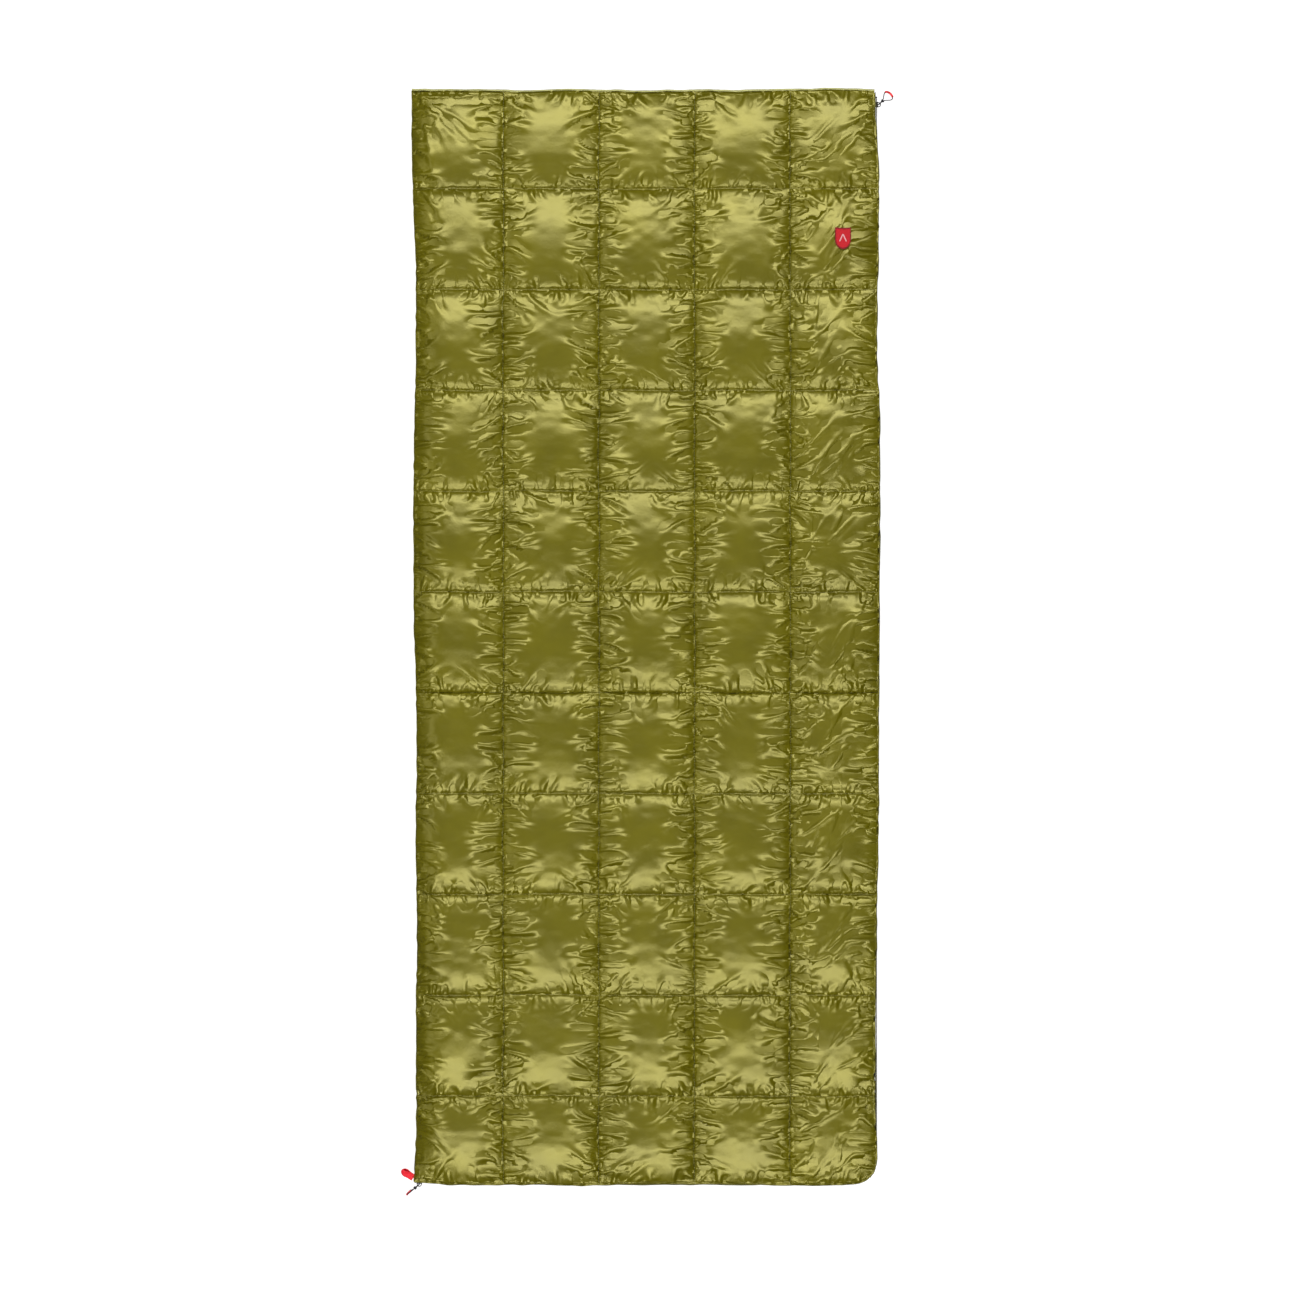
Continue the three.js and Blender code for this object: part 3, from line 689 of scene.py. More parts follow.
def taffeta(name, light, dark, roughness):
    """Downproof nylon: a fine plain weave, hardly visible creases, and slightly uneven dye."""
    material, tree, shader, place = node_material(name, roughness)
    patches = pattern(tree, place, "Noise", Scale=14.0, Detail=3.0, Roughness=0.6)
    color_by(tree, shader, patches, dark, light, 0.35, 0.7)
    creases = pattern(tree, place, "Noise", Scale=160.0, Detail=4.0, Roughness=0.65, Distortion=0.6)
    creased = bumped(tree, shader, creases, 0.22, 0.9 * MM)
    threads = [stripes(tree, place, direction, Scale=420.0) for direction in ("X", "Y")]
    bumped(tree, shader, calculated(tree, "MULTIPLY", *threads), 0.12, 0.08 * MM, creased)
    shader.inputs["Metallic"].default_value = 0.25
    shader.inputs["Specular IOR Level"].default_value = 0.75
    shader.inputs["Specular Tint"].default_value = (1.0, 0.95, 0.56, 1)
    return material


def woven(name, light, dark, pitch, roughness=0.7, depth=0.25 * MM):
    """A coarse weave or braid: tape, webbing, cord or thread, with ribs of the given pitch."""
    material, tree, shader, place = node_material(name, roughness)
    ribs = [
        stripes(tree, place, direction, Scale=0.32 / pitch, Distortion=1.2, Detail=1.0)
        for direction in ("X", "Y")
    ]
    height = calculated(tree, "ADD", *ribs)
    # Colour follows the ribs' height: the rib tops are lighter and the grooves between the ribs darker, as
    # painted shade in the grooves.
    color_by(tree, shader, calculated(tree, "MULTIPLY", height, 0.5), dark, light, 0.3, 1.0)
    bumped(tree, shader, height, 0.6, depth)
    return material


def cast_metal(name, color, roughness):
    """Painted zinc with a faint orange peel and worn roughness."""
    material, tree, shader, place = node_material(name, roughness)
    grain = pattern(tree, place, "Noise", Scale=900.0, Detail=3.0)
    wear = add_node(tree, "ShaderNodeMapRange")
    wear.inputs["To Min"].default_value = roughness - 0.1
    wear.inputs["To Max"].default_value = roughness + 0.15
    tree.links.new(grain, wear.inputs["Value"])
    tree.links.new(wear.outputs["Result"], shader.inputs["Roughness"])
    color_by(tree, shader, grain, 0.7 * np.array(color), 1.3 * np.array(color))
    bumped(tree, shader, grain, 0.15, 0.05 * MM)
    shader.inputs["Metallic"].default_value = 0.3
    return material


def moulded(name, color, roughness):
    """Soft plastic with a fine matt grain."""
    material, tree, shader, place = node_material(name, roughness)
    grain = pattern(tree, place, "Noise", Scale=700.0, Detail=4.0)
    color_by(tree, shader, grain, 0.82 * np.array(color), (1.12 * np.array(color)).clip(0, 1))
    bumped(tree, shader, grain, 0.2, 0.06 * MM)
    return material


SHELL = taffeta("shell_taffeta", (0.122, 0.108, 0.0013), (0.097, 0.086, 0.0009), 0.33)
LINING = taffeta("lining_taffeta", (0.205, 0.200, 0.040), (0.170, 0.163, 0.028), 0.4)
THREAD = woven("seam_thread", (0.08, 0.07, 0.01), (0.05, 0.045, 0.006), 0.5 * MM)
PALE_THREAD = woven("column_thread", (0.27, 0.27, 0.12), (0.18, 0.18, 0.07), 0.5 * MM)
TAPE = woven("zip_tape", (0.12, 0.115, 0.035), (0.08, 0.075, 0.02), 0.7 * MM)
COIL = moulded("zip_coil", (0.10, 0.097, 0.05), 0.45)
METAL = cast_metal("slider_metal", (0.005, 0.005, 0.006), 0.55)
CORD = woven("pull_cord", (0.03, 0.028, 0.034), (0.012, 0.011, 0.014), 0.6 * MM)
SLEEVE = moulded("pull_sleeve", (0.70, 0.025, 0.03), 0.45)
WEBBING = woven("red_webbing", (0.86, 0.012, 0.030), (0.66, 0.006, 0.018), 0.9 * MM, 0.5)
BINDING_TAPE = taffeta("binding_taffeta", (0.30, 0.30, 0.12), (0.24, 0.24, 0.09), 0.45)
BADGE_CLOTH = woven("badge_cloth", (0.52, 0.004, 0.012), (0.38, 0.002, 0.008), 0.5 * MM, 0.85)
BADGE_EDGE = woven("badge_edge", (0.26, 0.002, 0.006), (0.16, 0.001, 0.003), 0.6 * MM, 0.85)
BADGE_MARK = woven("badge_mark", (0.75, 0.42, 0.42), (0.55, 0.24, 0.25), 0.5 * MM, 0.85)
FLOOR = moulded("floor", (0.3, 0.3, 0.3), 0.95)
FLOOR.node_tree.nodes["Principled BSDF"].inputs["Emission Color"].default_value = (1, 1, 1, 1)
FLOOR.node_tree.nodes["Principled BSDF"].inputs["Emission Strength"].default_value = 0.85
DOWN = woven("down", (0.86, 0.83, 0.76), (0.78, 0.74, 0.66), 3 * MM, 0.95, 1.0 * MM)


# ---- Pulls of the two sliders ----
# A pull's own axes: across, along the pull, and up, in millimetres, as in the CAD model.
TOP_LOOP_HALF = [
    [1.2, 11.8, 0], [2.2, 13.4, -0.4], [3.8, 15.6, -1.9], [5.6, 18, -4.5], [7.2, 20.4, -7.7],
    [8.3, 22.8, -11.3], [8.5, 25.2, -15.2], [7.6, 27.4, -19], [5.6, 29.2, -22.2], [3, 30.3, -24.3],
]
TOP_LOOP = [
    *TOP_LOOP_HALF,
    [0, 30.7, -25],
    *([-across, along, up] for across, along, up in reversed(TOP_LOOP_HALF)),
]
BOTTOM_LOOP = [
    [0, 11.8, 1.2], [0, 14.2, 2], [0, 17.2, 2.2], [0, 20.4, 1.4], [0, 23.4, -0.6], [0, 26, -3.6],
    [0, 28, -7.4], [0, 29, -11.8], [0, 28.9, -16.2], [0, 27.6, -20.2], [0, 25, -23.2], [0, 21.8, -23.8],
    [0, 19, -21.6], [0, 17, -17.8], [0, 15.4, -13.4], [0, 14, -9], [0, 12.8, -4.8], [0, 11.8, -1.2],
]
PULL_CORD_R = 0.85 * MM
HITCH_CORD_R = 1.0 * MM
HITCH_R = 3.4 * MM
KNOT_AT = 9.2 * MM
KNOT_R = 1.65 * MM
SLEEVE_R = 1.9 * MM
SLEEVE_ROUNDING = 0.5 * MM
SLEEVE_STEPS = 40
ROUTE_STEPS = 150
SLEEVE_SHARE = {"top": (0.41, 0.71), "bottom": (0.35, 0.65)}
# Each pull's direction, in degrees anticlockwise from +X.
PULLS = {"top": (43, TOP_LOOP), "bottom": (221, BOTTOM_LOOP)}


def joint_place(name):
    return next(j["pos_m"] for j in frame["record"]["behaviour"]["joints"] if j["name"] == name)


def pull_axes(name):
    """The matrix from a pull's own axes to the frame's."""
    turn = math.radians(PULLS[name][0])
    return Matrix.Translation(joint_place(f"{name}_pull_swing")) @ Matrix(
        [
            [math.sin(turn), math.cos(turn), 0, 0],
            [-math.cos(turn), math.sin(turn), 0, 0],
            [0, 0, 1, 0],
            [0, 0, 0, 1],
        ]
    )


def placed(points, matrix):
    points = np.asarray(points, float)
    turn, shift = np.array(matrix.to_3x3()), np.array(matrix.translation)
    return points @ turn.T + shift


def make_pull(name):
    axes = pull_axes(name)
    body = f"{name}_pull"
    route = placed(smooth_path(np.array(PULLS[name][1]) * MM, ROUTE_STEPS), axes)

    angle = full_turn(72)
    ring = np.stack([0 * angle, HITCH_R * (1 - np.cos(angle)), HITCH_R * 0.94 * np.sin(angle)], 1)
    hitch = braid(placed(ring, axes), HITCH_CORD_R, CORD, f"{name}_hitch", closed=True)
    # The knot is a trefoil pulled tight.
    turn = full_turn(160)
    knot = np.stack(
        [
            KNOT_R * (np.sin(turn) + 2 * np.sin(2 * turn)) / 2,
            KNOT_AT + KNOT_R * (np.cos(turn) - 2 * np.cos(2 * turn)) / 2,
            -KNOT_R * np.sin(3 * turn) * 0.75,
        ],
        1,
    )
    knot = braid(placed(knot, axes), PULL_CORD_R, CORD, f"{name}_knot", closed=True)
    for piece in (hitch, knot):
        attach(piece, body)
    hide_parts(f"{name}_pull_hitch")

    first, last = (round(share * (ROUTE_STEPS - 1)) for share in SLEEVE_SHARE[name])
    covered = smooth_path(route[first : last + 1], SLEEVE_STEPS)
    step = np.arange(SLEEVE_STEPS)
    from_end = np.minimum(step, step[::-1]) * path_length(covered) / (SLEEVE_STEPS - 1)
    short = SLEEVE_ROUNDING - np.minimum(from_end, SLEEVE_ROUNDING)
    size = SLEEVE_R - SLEEVE_ROUNDING + np.sqrt(SLEEVE_ROUNDING**2 - short**2)
    outside, quads, caps = swept(covered, np.array([circle(radius, 20) for radius in size]))
    sleeve = mesh_piece(f"{name}_sleeve", outside, quads, SLEEVE, caps)
    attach(sleeve, body)
    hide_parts(f"{name}_pull_sleeve")

    loop = braid(route, PULL_CORD_R, CORD, f"{name}_cord")
    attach(loop, body)
    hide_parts(f"{name}_pull_cord")


# ---- Quilted cloth ----
CLOTH = 0.3 * MM
HALF_ROWS = 5
# Rows of stitches: the pitch, length and radius of a stitch.
COLUMN_STITCH = (4.4 * MM, 2.9 * MM, 0.35 * MM)
ROW_STITCH = (3.2 * MM, 2.3 * MM, 0.24 * MM)
STITCH_SIDES = 5
# Places along a stitch, as shares of its length, and its thickness there.
STITCH_RINGS = ((-0.5, 0.35), (-0.25, 1.0), (0.25, 1.0), (0.5, 0.35))


def stitches(name, lines, up, material, pitch, length, radius):
    """A row of stitches along each line, half sunk in the cloth. up is 1 or -1."""
    parts = []
    section = circle(1.0, STITCH_SIDES)
    corners = np.arange(STITCH_SIDES)
    count = len(STITCH_RINGS) * STITCH_SIDES
    for line in lines:
        along = distances(line)
        middles = np.arange(pitch / 2, along[-1], pitch)
        first, last = (at_distances(middles + half * length / 2, along, line) for half in (-1, 1))
        ahead = last - first
        ahead /= np.linalg.norm(ahead, axis=1, keepdims=True) + 1e-9
        here = at_distances(middles, along, line)
        side = np.cross(ahead, (0, 0, up))
        rings = []
        for share, size in STITCH_RINGS:
            centre = here + ahead * share * length + np.array((0, 0, up)) * radius * (1.2 * size - 0.2)
            ring = side[:, None] * section[:, :1] + np.array((0, 0, up)) * section[:, 1:]
            rings.append(centre[:, None] + ring * radius * size)
        starts = count * np.arange(len(here))
        quads = grid_faces(len(STITCH_RINGS), STITCH_SIDES, close_columns=True)[None] + starts[:, None, None]
        caps = [start + ends for start in starts for ends in (corners[::-1], corners + count - STITCH_SIDES)]
        parts.append((np.stack(rings, 1), quads, caps))
    return joined(name, parts, material)


def face_in_place(face, side, inward):
    """A face's points in the frame. Inward faces look towards the other layer."""
    points = face.points.astype(float).copy()
    up = SIDES[side] * (-1 if inward else 1)
    points[..., 2] = SEAM_Z[side] + up * (points[..., 2] + 0.5 * MM)
    return points, up


def cloth_backs(points, up):
    """The other side of the cloth under each point."""
    return points - surface_normals(points) * up * CLOTH


def outer_shell(side, face):
    """The shell's cloth, one piece for each end of each column."""
    points, up = face_in_place(face, side, inward=False)
    points[..., 2] = np.maximum(points[..., 2], CLOTH + 0.2 * MM)
    backs = cloth_backs(points, up)
    split = HALF_ROWS * face.along
    for column in range(len(COLUMN_EDGES) - 1):
        for half, rows in (("foot", slice(0, split + 1)), ("head", slice(split, None))):
            part = np.s_[rows, column * face.across : (column + 1) * face.across + 1]
            vertices, quads, caps = backed_cloth(points[part], backs[part], 8, up)
            piece = mesh_piece(f"{side}_shell_column_{column + 1}_{half}", vertices, quads, SHELL, caps)
            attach(piece, f"{side}_layer")
            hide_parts(f"{side}_outer_shell")
    add_seam_stitches(f"{side}_shell_stitches", face, points, side, up)
    return points


def add_seam_stitches(name, face, points, side, up):
    """Pale stitches down the column seams, and finer dark ones along the row seams."""
    columns = [points[:, column] for column in range(face.across, points.shape[1] - 1, face.across)]
    rows = [points[row] for row in range(face.along, points.shape[0] - 1, face.along)]
    for part, lines, material, stitch in (
        ("down", columns, PALE_THREAD, COLUMN_STITCH),
        ("across", rows, THREAD, ROW_STITCH),
    ):
        thread = stitches(f"{name}_{part}", lines, up, material, *stitch)
        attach(thread, f"{side}_layer")


def lining(side, face):
    """The lining's cloth, which stays on its own side of the plane where the layers meet."""
    points, up = face_in_place(face, side, inward=True)
    nearest = MID_Z - up * 0.25 * MM
    points[..., 2] = up * np.minimum(up * points[..., 2], up * nearest)
    vertices, quads, caps = backed_cloth(points, cloth_backs(points, up), 6, up)
    piece = mesh_piece(f"{side}_lining_cloth", vertices, quads, LINING, caps)
    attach(piece, f"{side}_layer")
    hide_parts(f"{side}_lining")
    add_seam_stitches(f"{side}_lining_stitches", face, points, side, up)


def fold_strip(lower, upper):
    """The cloth round the fold, between the fold edges of the two outer shells."""
    count = min(len(lower), len(upper))
    low, high = (
        edge[np.linspace(0, len(edge) - 1, count).round().astype(int), 0] for edge in (lower, upper)
    )
    t = np.linspace(0, 1, 9)[None, :, None]
    path = low[:, None] * (1 - t) + high[:, None] * t
    bulge = np.sin(np.pi * t[..., 0]) * 1.1 * MM
    inner = path.copy()
    path[..., 0] -= bulge + CLOTH / 2
    inner[..., 0] -= bulge - CLOTH / 2
    strip = mesh_piece("fold_strip", *closed_slab(inner, path), SHELL)
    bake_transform(strip)


# How far the down stays from a chamber's sides, more at the fold and at the round corner.
DOWN_GAP_X, DOWN_GAP_Y = 13 * MM, 12 * MM
DOWN_GAP_FOLD = 34 * MM
DOWN_GAP_CORNER = (22 * MM, 18 * MM)


def down_rows(side):
    """The down in each row of chambers: a soft clump in each chamber."""
    rng = np.random.default_rng(SEED + 11)
    u, v = np.meshgrid(np.linspace(-1, 1, 20), np.linspace(-1, 1, 20))
    mound = np.clip(1 - np.abs(u) ** 2.4, 0, 1) ** 0.6 * np.clip(1 - np.abs(v) ** 2.4, 0, 1) ** 0.6
    for row, (south, north) in enumerate(zip(ROW_EDGES, ROW_EDGES[1:])):
        clumps = []
        for column, (west, east) in enumerate(zip(COLUMN_EDGES, COLUMN_EDGES[1:])):
            at_corner = row == 0 and column == ZIP_COLUMN
            in_west = DOWN_GAP_FOLD if column == 0 else DOWN_GAP_X
            in_east, in_south = DOWN_GAP_CORNER if at_corner else (DOWN_GAP_X, DOWN_GAP_Y)
            gx, gy = np.meshgrid(
                np.linspace(west + in_west, east - in_east, 20),
                np.linspace(south + in_south, north - DOWN_GAP_Y, 20),
            )
            size = 0.4 * MM + mound * (3.6 * MM + smooth_noise(rng, gx.shape, (8, 8)) * 0.5 * MM)
            heights = [np.stack([gx, gy, SEAM_Z[side] + up * size], -1) for up in (1, -1)]
            clumps.append(closed_slab(*heights))
        number = f"{len(ROW_EDGES) - 1 - row:02d}"
        piece = joined(f"{side}_down_{number}", clumps, DOWN)
        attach(piece, f"{side}_layer")
        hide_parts(f"{side}_down_row_{number}")


def head_binding(side, shell):
    """A folded tape over the open end of a layer."""
    steps = 500
    x = np.linspace(FOLD_X + stray(FOLD_STRAY, HEAD_Y), EDGE_X + stray(ZIP_STRAY, HEAD_Y), steps)
    rng = np.random.default_rng(SEED + (3 if side == "upper" else 4))
    low, high = BINDING[side]
    middle_y, middle_z = (low[1] + high[1]) / 2, (low[2] + high[2]) / 2
    wave = smooth_noise(rng, (steps, 1), (36, 1))[:, 0]
    edge = np.interp(x, shell[-1, :, 0], shell[-1, :, 1])
    y = middle_y + 0.6 * (edge - edge.mean()) + wave * 0.7 * MM
    path = np.stack([x, y, middle_z + 0.6 * MM * np.roll(wave, 9)], 1)
    depth, height = (high[1] - low[1]) / 2 + 0.3 * MM, (high[2] - low[2]) / 2
    angle = full_turn(16)
    flattened = np.sign(np.cos(angle)) * np.abs(np.cos(angle)) ** 0.6
    section = np.stack([depth * flattened, height * np.sin(angle)], 1)
    pucker = 1 + 0.10 * smooth_noise(rng, (steps, 1), (130, 1))[:, 0][:, None, None]
    vertices, quads, caps = swept(path, section[None] * pucker, up=(0, 0, 1))
    piece = mesh_piece(f"{side}_binding", vertices, quads, BINDING_TAPE, caps)
    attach(piece, f"{side}_layer")
    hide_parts(f"{side}_head_binding")


# ---- Zip ----
TAPE_TOP_Y = 946 * MM
TAPE_FOOT_X = -401.5 * MM
COIL_TOP_Y = 936 * MM
COIL_FOOT_X = -398.6 * MM
COIL_PITCH = 2.0 * MM
COIL_WIRE_R = 0.34 * MM
TAPE_HALF = 0.35 * MM


def wall_path(outward, top_y, foot_x, spacing):
    """Points along the zip wall at a distance outward, from the head round the corner to the fold."""
    radius = CORNER_R + outward
    centre = np.array([WALL_X - CORNER_R, WALL_Y + CORNER_R])
    side = [[WALL_X + outward, y] for y in np.arange(top_y, centre[1], -spacing)]
    angles = np.linspace(0, -math.pi / 2, max(8, round(radius * math.pi / 2 / spacing)))
    corner = [centre + radius * np.array([math.cos(a), math.sin(a)]) for a in angles]
    foot = [[x, WALL_Y - outward] for x in np.arange(centre[0] - spacing, foot_x, -spacing)]
    return np.array([*side, *corner, *foot, [foot_x, WALL_Y - outward]])


def outward_of(path):
    ahead = np.gradient(path[:, :2], axis=0)
    ahead /= np.linalg.norm(ahead, axis=1, keepdims=True)
    return np.stack([-ahead[:, 1], ahead[:, 0], 0 * ahead[:, 0]], 1)


def zip_tape(side):
    """The tape, with a slight wave where it is sewn to the layer."""
    up = SIDES[side]
    rng = np.random.default_rng(SEED + 20 + up)
    plan = wall_path(TAPE_HALF, TAPE_TOP_Y, TAPE_FOOT_X, 3 * MM)
    out = outward_of(plan)
    heights = np.linspace(0, 1, 9)
    wave = smooth_noise(rng, (len(plan), 1), (round(len(plan) / 7), 1))[:, 0]
    on_side = plan[:, 0] > WALL_X - CORNER_R
    lean = np.where(on_side, stray(ZIP_STRAY, plan[:, 1]), stray(FOOT_STRAY, plan[:, 0]))
    lean = np.convolve(np.pad(lean, 6, mode="edge"), np.ones(13) / 13, mode="valid")
    sway = (wave * 1.0 * MM + lean)[:, None] * heights[None, :] ** 2
    middle = np.concatenate([plan, np.zeros((len(plan), 1))], 1)[:, None] + out[:, None] * sway[..., None]
    middle[..., 2] = MID_Z + up * (0.7 + 14 * heights) * MM
    faces = [middle + turn * out[:, None] * TAPE_HALF for turn in (-up, up)]
    tape = mesh_piece(f"{side}_tape", *closed_slab(*faces), TAPE)
    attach(tape, f"{side}_layer")
    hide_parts(f"{side}_zip_tape")


def zip_coil(side):
    """One flattened turn after another, with its head towards the other coil."""
    plan = wall_path(2.2 * MM, COIL_TOP_Y, COIL_FOOT_X, COIL_PITCH / 12)
    turn = 2 * math.pi * distances(plan) / COIL_PITCH
    reach_out = (1.2 * MM - COIL_WIRE_R) * np.sign(np.cos(turn)) * np.abs(np.cos(turn)) ** 0.7
    path = np.concatenate([plan, np.full((len(plan), 1), MID_Z + SIDES[side] * 2.0 * MM)], 1)
    path = path + outward_of(plan) * reach_out[:, None]
    path[:, 2] += (1.3 * MM - COIL_WIRE_R) * np.sin(turn)
    path = path[::2]
    vertices, quads, caps = swept(path, circle(COIL_WIRE_R, 5))
    coil = mesh_piece(f"{side}_coil", vertices, quads, COIL, caps)
    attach(coil, f"{side}_layer")
    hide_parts(f"{side}_zip_coil")


def rounded_box(low, high, radius):
    """Vertices, quads and caps of a box with rounded edges all round its Z axis and soft ends."""
    low, high = np.asarray(low, float), np.asarray(high, float)
    centre, half = (low + high) / 2, (high - low) / 2
    ring = []
    for quarter, signs in enumerate([(1, 1), (-1, 1), (-1, -1), (1, -1)]):
        for a in np.linspace(0, math.pi / 2, 4) + quarter * math.pi / 2:
            ring.append(signs * (half[:2] - radius) + radius * np.array([math.cos(a), math.sin(a)]))
    ring = np.array(ring)
    layers = []
    for z, inset, depth in ((-1, 1, 0), (-1, 0.3, 0.3), (-1, 0, 1), (1, 0, 1), (1, 0.3, 0.3), (1, 1, 0)):
        shrink = 1 - radius * inset * 0.8 / np.maximum(half[:2], 1e-9)
        height = np.full((len(ring), 1), z * (half[2] - depth * radius))
        layers.append(np.concatenate([ring * shrink, height], 1))
    vertices = np.array(layers) + centre
    count = len(ring)
    last = (len(layers) - 1) * count
    caps = [np.arange(count)[::-1], np.arange(last, last + count)]
    return vertices.reshape(-1, 3), grid_faces(len(layers), count, close_columns=True), caps


def make_stop(node, side):
    low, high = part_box(node)
    vertices, quads, caps = rounded_box(low, high, 0.5 * MM)
    stop = mesh_piece(f"{node}_crimp", vertices, quads, METAL, caps)
    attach(stop, f"{side}_layer")
    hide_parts(node)


# ---- Sliders ----
def make_slider(name, turn):
    """In its own axes, X is along the zip, Y is outward from the wall, and Z is up. Millimetres."""
    pivot = Vector(joint_place(f"{name}_pull_swing"))
    outward, wedge_side = {"top": (Vector((1, 0, 0)), -1), "bottom": (Vector((0, -1, 0)), 1)}[name]
    place = Matrix.Translation(pivot - outward * PIVOT_OUT) @ Matrix.Rotation(math.radians(turn), 4, "Z")
    parts = [
        plate(-1.35, -0.35, wedge_side),
        plate(3.7, 4.8, wedge_side),
        rounded_box([wedge_side * 3.6 - 1.2, -0.5, -0.4], [wedge_side * 3.6 + 1.2, 4.2, 0.4], 0.3),
        rounded_box([-4.4, 1.1, -4.55], [4.4, 4.4, -3.75], 0.3),
        bridge_arch(),
    ]
    parts = [(placed(np.asarray(v) * MM, place), q, c) for v, q, c in parts]
    slider = joined(f"{name}_slider", parts, METAL)
    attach(slider, f"{name}_slider")
    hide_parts(f"{name}_slider_body")


def plate(near, far, wedge_side):
    """A shield-shaped plate with a swollen middle, wider at the wedge's end."""
    rings = []
    angle = full_turn(40)
    across = np.sign(np.sin(angle)) * np.abs(np.sin(angle)) ** 0.45
    length = np.sign(np.cos(angle)) * np.abs(np.cos(angle)) ** 0.55
    for y, inset in ((near, 0.5), (near + 0.25, 0.1), ((near + far) / 2, 0), (far - 0.25, 0.1), (far, 0.5)):
        x = length * (5 - inset)
        z = across * (4.6 - inset) * (0.93 + 0.07 * x / 5 * wedge_side)
        rings.append(np.stack([x, np.full(40, y), z], 1))
    quads = grid_faces(5, 40, close_columns=True)[:, ::-1]
    return np.array(rings).reshape(-1, 3), quads, [np.arange(40), np.arange(160, 200)[::-1]]


def bridge_arch():
    """The arch that holds the pull: a flattened bar from one end of the outer plate to the other."""
    straight = np.array([[4.0, 4.4, 0], [3.75, 5.2, 0]])
    angle = np.linspace(0, math.pi, 24)
    arc = np.stack([3.6 * np.cos(angle), 5.9 + 3.6 * np.sin(angle), 0 * angle], 1)
    path = np.concatenate([straight, arc, straight[::-1] * [-1, 1, 1]])
    section = circle(1.0, 14) * [0.72, 1.45]
    return swept(path, section, up=(0, 0, 1))


# ---- Hang loop ----
def make_hang_loop():
    """Ribbed webbing folded into a teardrop, whose width runs along the fold."""
    width, thickness, tip_r, tip_at = 12 * MM, 0.9 * MM, 3.7 * MM, 16.0 * MM
    arc = np.linspace(math.pi, 0, 24)
    side = np.array([[-0.55, -4.5], [-0.55, 0.0], [-0.75, 2.2], [-1.5, 5.0], [-2.6, 8.6], [-3.45, 12.4]]) * MM
    tip = np.stack([tip_r * np.cos(arc), tip_at + tip_r * np.sin(arc)], 1)
    outline = np.concatenate([side, tip, side[::-1] * [-1, 1]])
    outline = smooth_path(np.concatenate([outline, np.zeros((len(outline), 1))], 1), 160)
    # Its section: ribs across the face and round selvedges.
    across = np.linspace(-1, 1, 25)
    rib = 0.10 * MM * np.cos(across * 8 * math.pi)
    half = thickness / 2 * np.where(np.abs(across) > 0.93, 1.15, 1.0) + rib
    ends = np.sqrt(np.clip(1 - np.clip((np.abs(across) - 0.94) / 0.07, 0, 1) ** 2, 0.05, 1))
    front = np.stack([half * ends, across * width / 2], 1)
    section = np.concatenate([front, front[::-1] * [-1, 1]])
    vertices, quads, caps = swept(outline, section, up=(0, 0, 1))
    # It droops more than in the CAD model, with its tip in the same place.
    cad_tilt, droop = math.radians(18), math.radians(33)
    cad_root = np.array([FOLD_X - 0.5 * MM - 6 * MM * math.sin(cad_tilt), -0.934, MID_Z])
    to_tip = np.array([math.cos(droop) - math.cos(cad_tilt), math.sin(cad_tilt) - math.sin(droop), 0])
    root = cad_root + 20 * MM * to_tip
    tilted = Matrix.Rotation(-droop, 3, "Z") @ Matrix(((0, -1, 0), (0, 0, -1), (1, 0, 0)))
    # The webbing is twisted: the further from the fold, the more it leans towards the head.
    vertices = np.asarray(vertices)
    lean = math.radians(34) * smoothstep(vertices[:, 1] / (14 * MM))
    twisted = vertices.copy()
    twisted[:, 0] = vertices[:, 0] * np.cos(lean) - vertices[:, 2] * np.sin(lean)
    twisted[:, 2] = vertices[:, 0] * np.sin(lean) + vertices[:, 2] * np.cos(lean)
    # Its end is bowed, so that it looks round from above.
    across = twisted[:, 2] / (width / 2)
    twisted[:, 1] -= 3.2 * MM * across**2 * smoothstep(twisted[:, 1] / (18 * MM)) ** 2
    vertices = twisted @ np.array(tilted).T + root
    loop = mesh_piece("webbing_loop", vertices, quads, WEBBING, caps)
    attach(loop, "hang_loop")
    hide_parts("hang_loop")


# ---- Badge ----
BADGE_STEPS = 96
BADGE_THREADS = 480
# The field's rings: shares of the outline, and heights in millimetres. Its last two are the back.
BADGE_FIELD = (
    (0.04, 0.75), (0.3, 0.75), (0.55, 0.75), (0.78, 0.75), (0.84, 0.75), (0.86, 1.15), (0.86, 0), (0.04, 0),
)
BADGE_RIM = ((0.85, 0.2), (0.845, 0.8), (0.87, 1.3), (0.92, 1.5), (0.97, 1.25), (1.0, 0.6), (1.0, 0.1))


def badge_outline(half):
    """Evenly spaced points round a shield with square shoulders and a round foot."""
    right = [[1.0, y] for y in np.linspace(0.85, -0.05, 12)]
    shoulder = [
        [0.93 + 0.07 * math.sin(a), 0.93 + 0.07 * math.cos(a)] for a in np.linspace(0, math.pi / 2, 8)
    ]
    bowl = [[math.cos(a), -0.1 - 0.9 * math.sin(a)] for a in np.linspace(0, math.pi, 41)]
    crest = [[x, 1 - 0.05 * (1 - (x / 0.93) ** 2)] for x in np.linspace(-0.86, 0.86, 15)]
    left = [[-x, y] for x, y in (shoulder + right)[::-1]]
    outline = np.array(crest + shoulder + right + bowl + left)[::-1] * half
    outline = np.concatenate([outline, outline[:1]])
    along = distances(outline)
    return at_distances(np.linspace(0, along[-1], BADGE_STEPS, endpoint=False), along, outline)


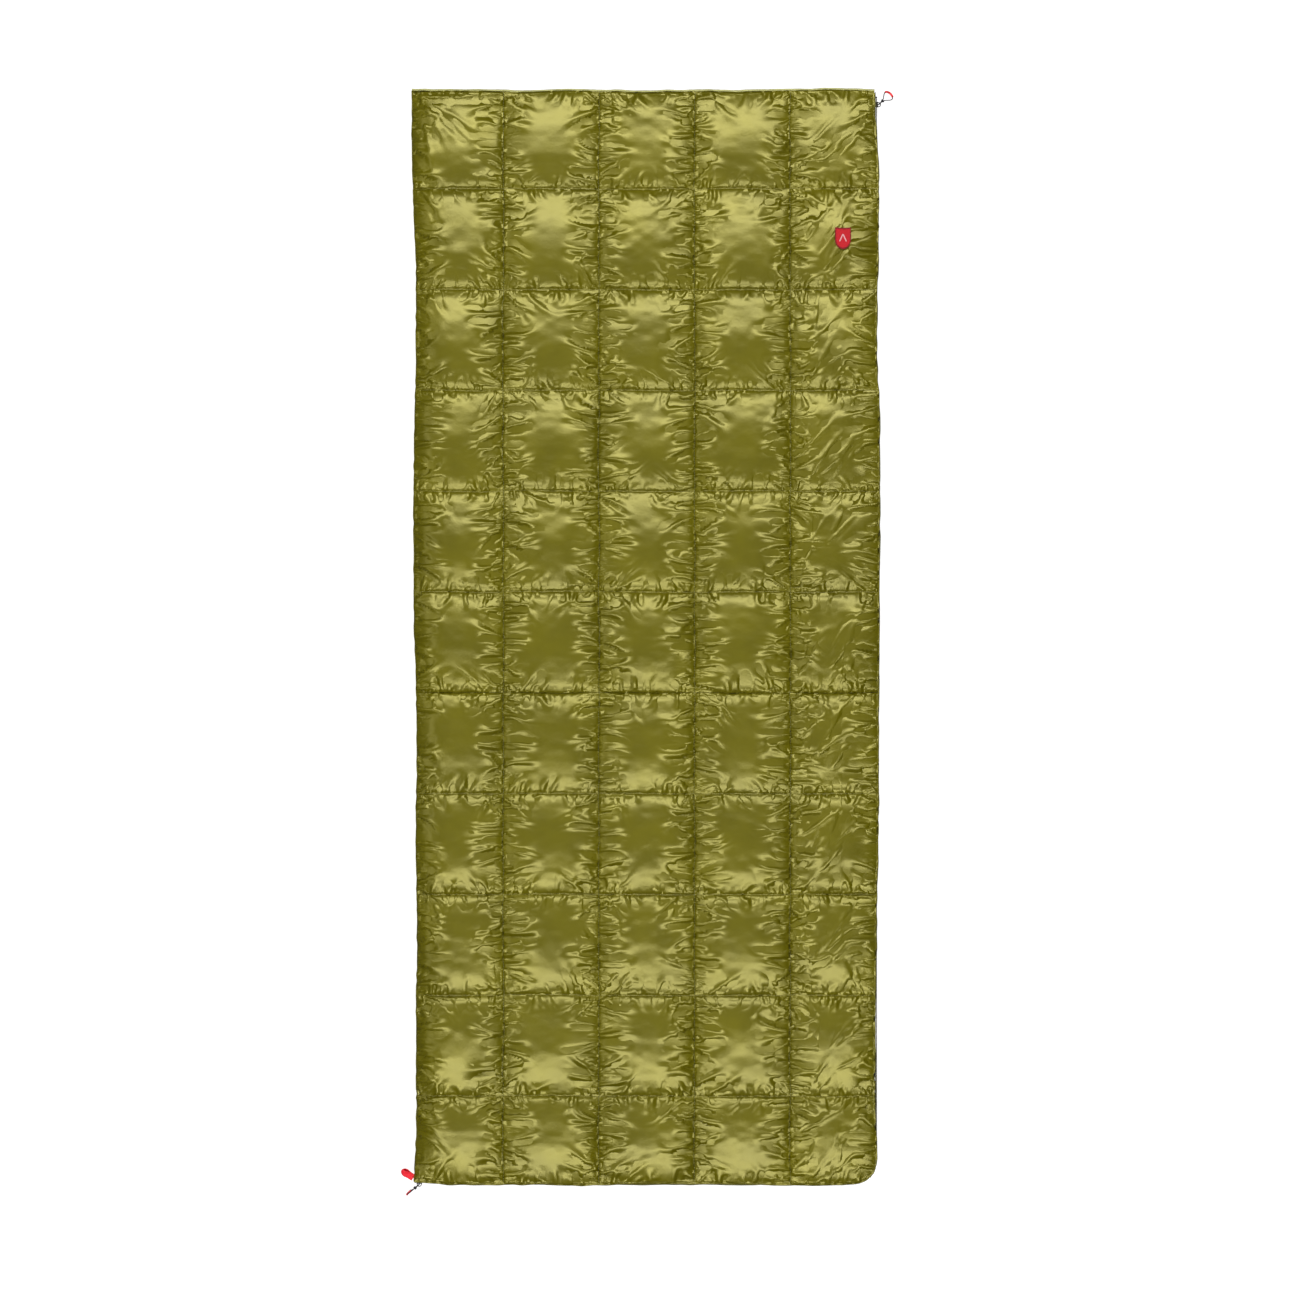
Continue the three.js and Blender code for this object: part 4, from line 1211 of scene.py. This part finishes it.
def make_badge(shell):
    """An embroidered shield, draped on the cloth, with a plain tent for its mark."""
    low, high = (np.array(corner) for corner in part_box("badge"))
    centre, half = (low + high)[:2] / 2, (high - low)[:2] / 2
    near = (np.abs(shell[..., 0] - centre[0]) < 30 * MM) & (np.abs(shell[..., 1] - centre[1]) < 35 * MM)
    x, y, z = (shell[near] - [*centre, 0]).T

    def terms(x, y):
        return np.stack([1 + 0 * x, x, y, x * x, x * y, y * y], -1)

    fit = np.linalg.lstsq(terms(x, y), z, rcond=None)[0]
    lift = np.max(z - terms(x, y) @ fit) * 0.5

    def on_cloth(x, y, height):
        return np.stack([x + centre[0], y + centre[1], terms(x, y) @ fit + lift + height], -1)

    outline = badge_outline(half)
    field = np.array([on_cloth(*(outline * share).T, height * MM) for share, height in BADGE_FIELD])
    quads = grid_faces(len(field), BADGE_STEPS, close_columns=True)
    ends = np.arange(BADGE_STEPS)
    caps = [ends[::-1], ends + (len(field) - 1) * BADGE_STEPS]
    cloth = mesh_piece("badge_field", field, quads, BADGE_CLOTH, caps)
    # The border is satin stitch: a rim of threads side by side.
    threads = np.arange(BADGE_THREADS)
    closed = np.concatenate([outline, outline[:1]])
    edge = at_distances(threads / BADGE_THREADS * BADGE_STEPS, np.arange(BADGE_STEPS + 1), closed)
    bead = 1 + 0.12 * np.cos(threads * 2 * math.pi / 3)
    rim = np.array([on_cloth(*(edge * share).T, height * MM * bead) for share, height in BADGE_RIM])
    quads = grid_faces(len(rim), BADGE_THREADS, close_columns=True, close_rows=True)
    border = mesh_piece("badge_border", rim, quads, BADGE_EDGE)
    # The mark: two slanted bars that lean on each other.
    t = np.linspace(0, 1, 12)
    section = circle(1.0, 8) * [1.15 * MM, 0.35 * MM]
    bars = []
    for side in (-1, 1):
        path = on_cloth(side * (0.2 + 5.6 * t) * MM, (7.0 - 12.5 * t) * MM, 0.95 * MM + 0 * t)
        bars.append(swept(path, section, up=(0, 0, 1)))
    mark = joined("badge_mark", bars, BADGE_MARK)
    for piece in (cloth, border, mark):
        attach(piece, "upper_layer")
    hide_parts("badge")


# ---- Floor ----
def make_floor():
    """A wide white floor, just under the quilt."""
    line = np.linspace(-12.0, 12.0, 25)
    x, y = np.meshgrid(line, line)
    floor = mesh_piece("floor", np.stack([x, y, 0 * x - 0.3 * MM], -1), grid_faces(25, 25), FLOOR)
    floor.visible_glossy = False


add_camera()
for pull in PULLS:
    make_pull(pull)
add_lights()
make_floor()

upper_shell = outer_shell("upper", quilted_face(SEED))
lower_shell = outer_shell("lower", quilted_face(SEED + 1, 0.5))
lining("lower", quilted_face(SEED + 2, 0.36, inward=True))
lining("upper", quilted_face(SEED + 3, 0.36, inward=True))
fold_strip(lower_shell, upper_shell)
for layer_side in SIDES:
    down_rows(layer_side)
    head_binding(layer_side, upper_shell)
    zip_tape(layer_side)
    zip_coil(layer_side)
    for end in ("head", "foot"):
        make_stop(f"{layer_side}_{end}_stop", layer_side)
make_slider("top", -90)
make_slider("bottom", 180)
make_hang_loop()
make_badge(upper_shell)
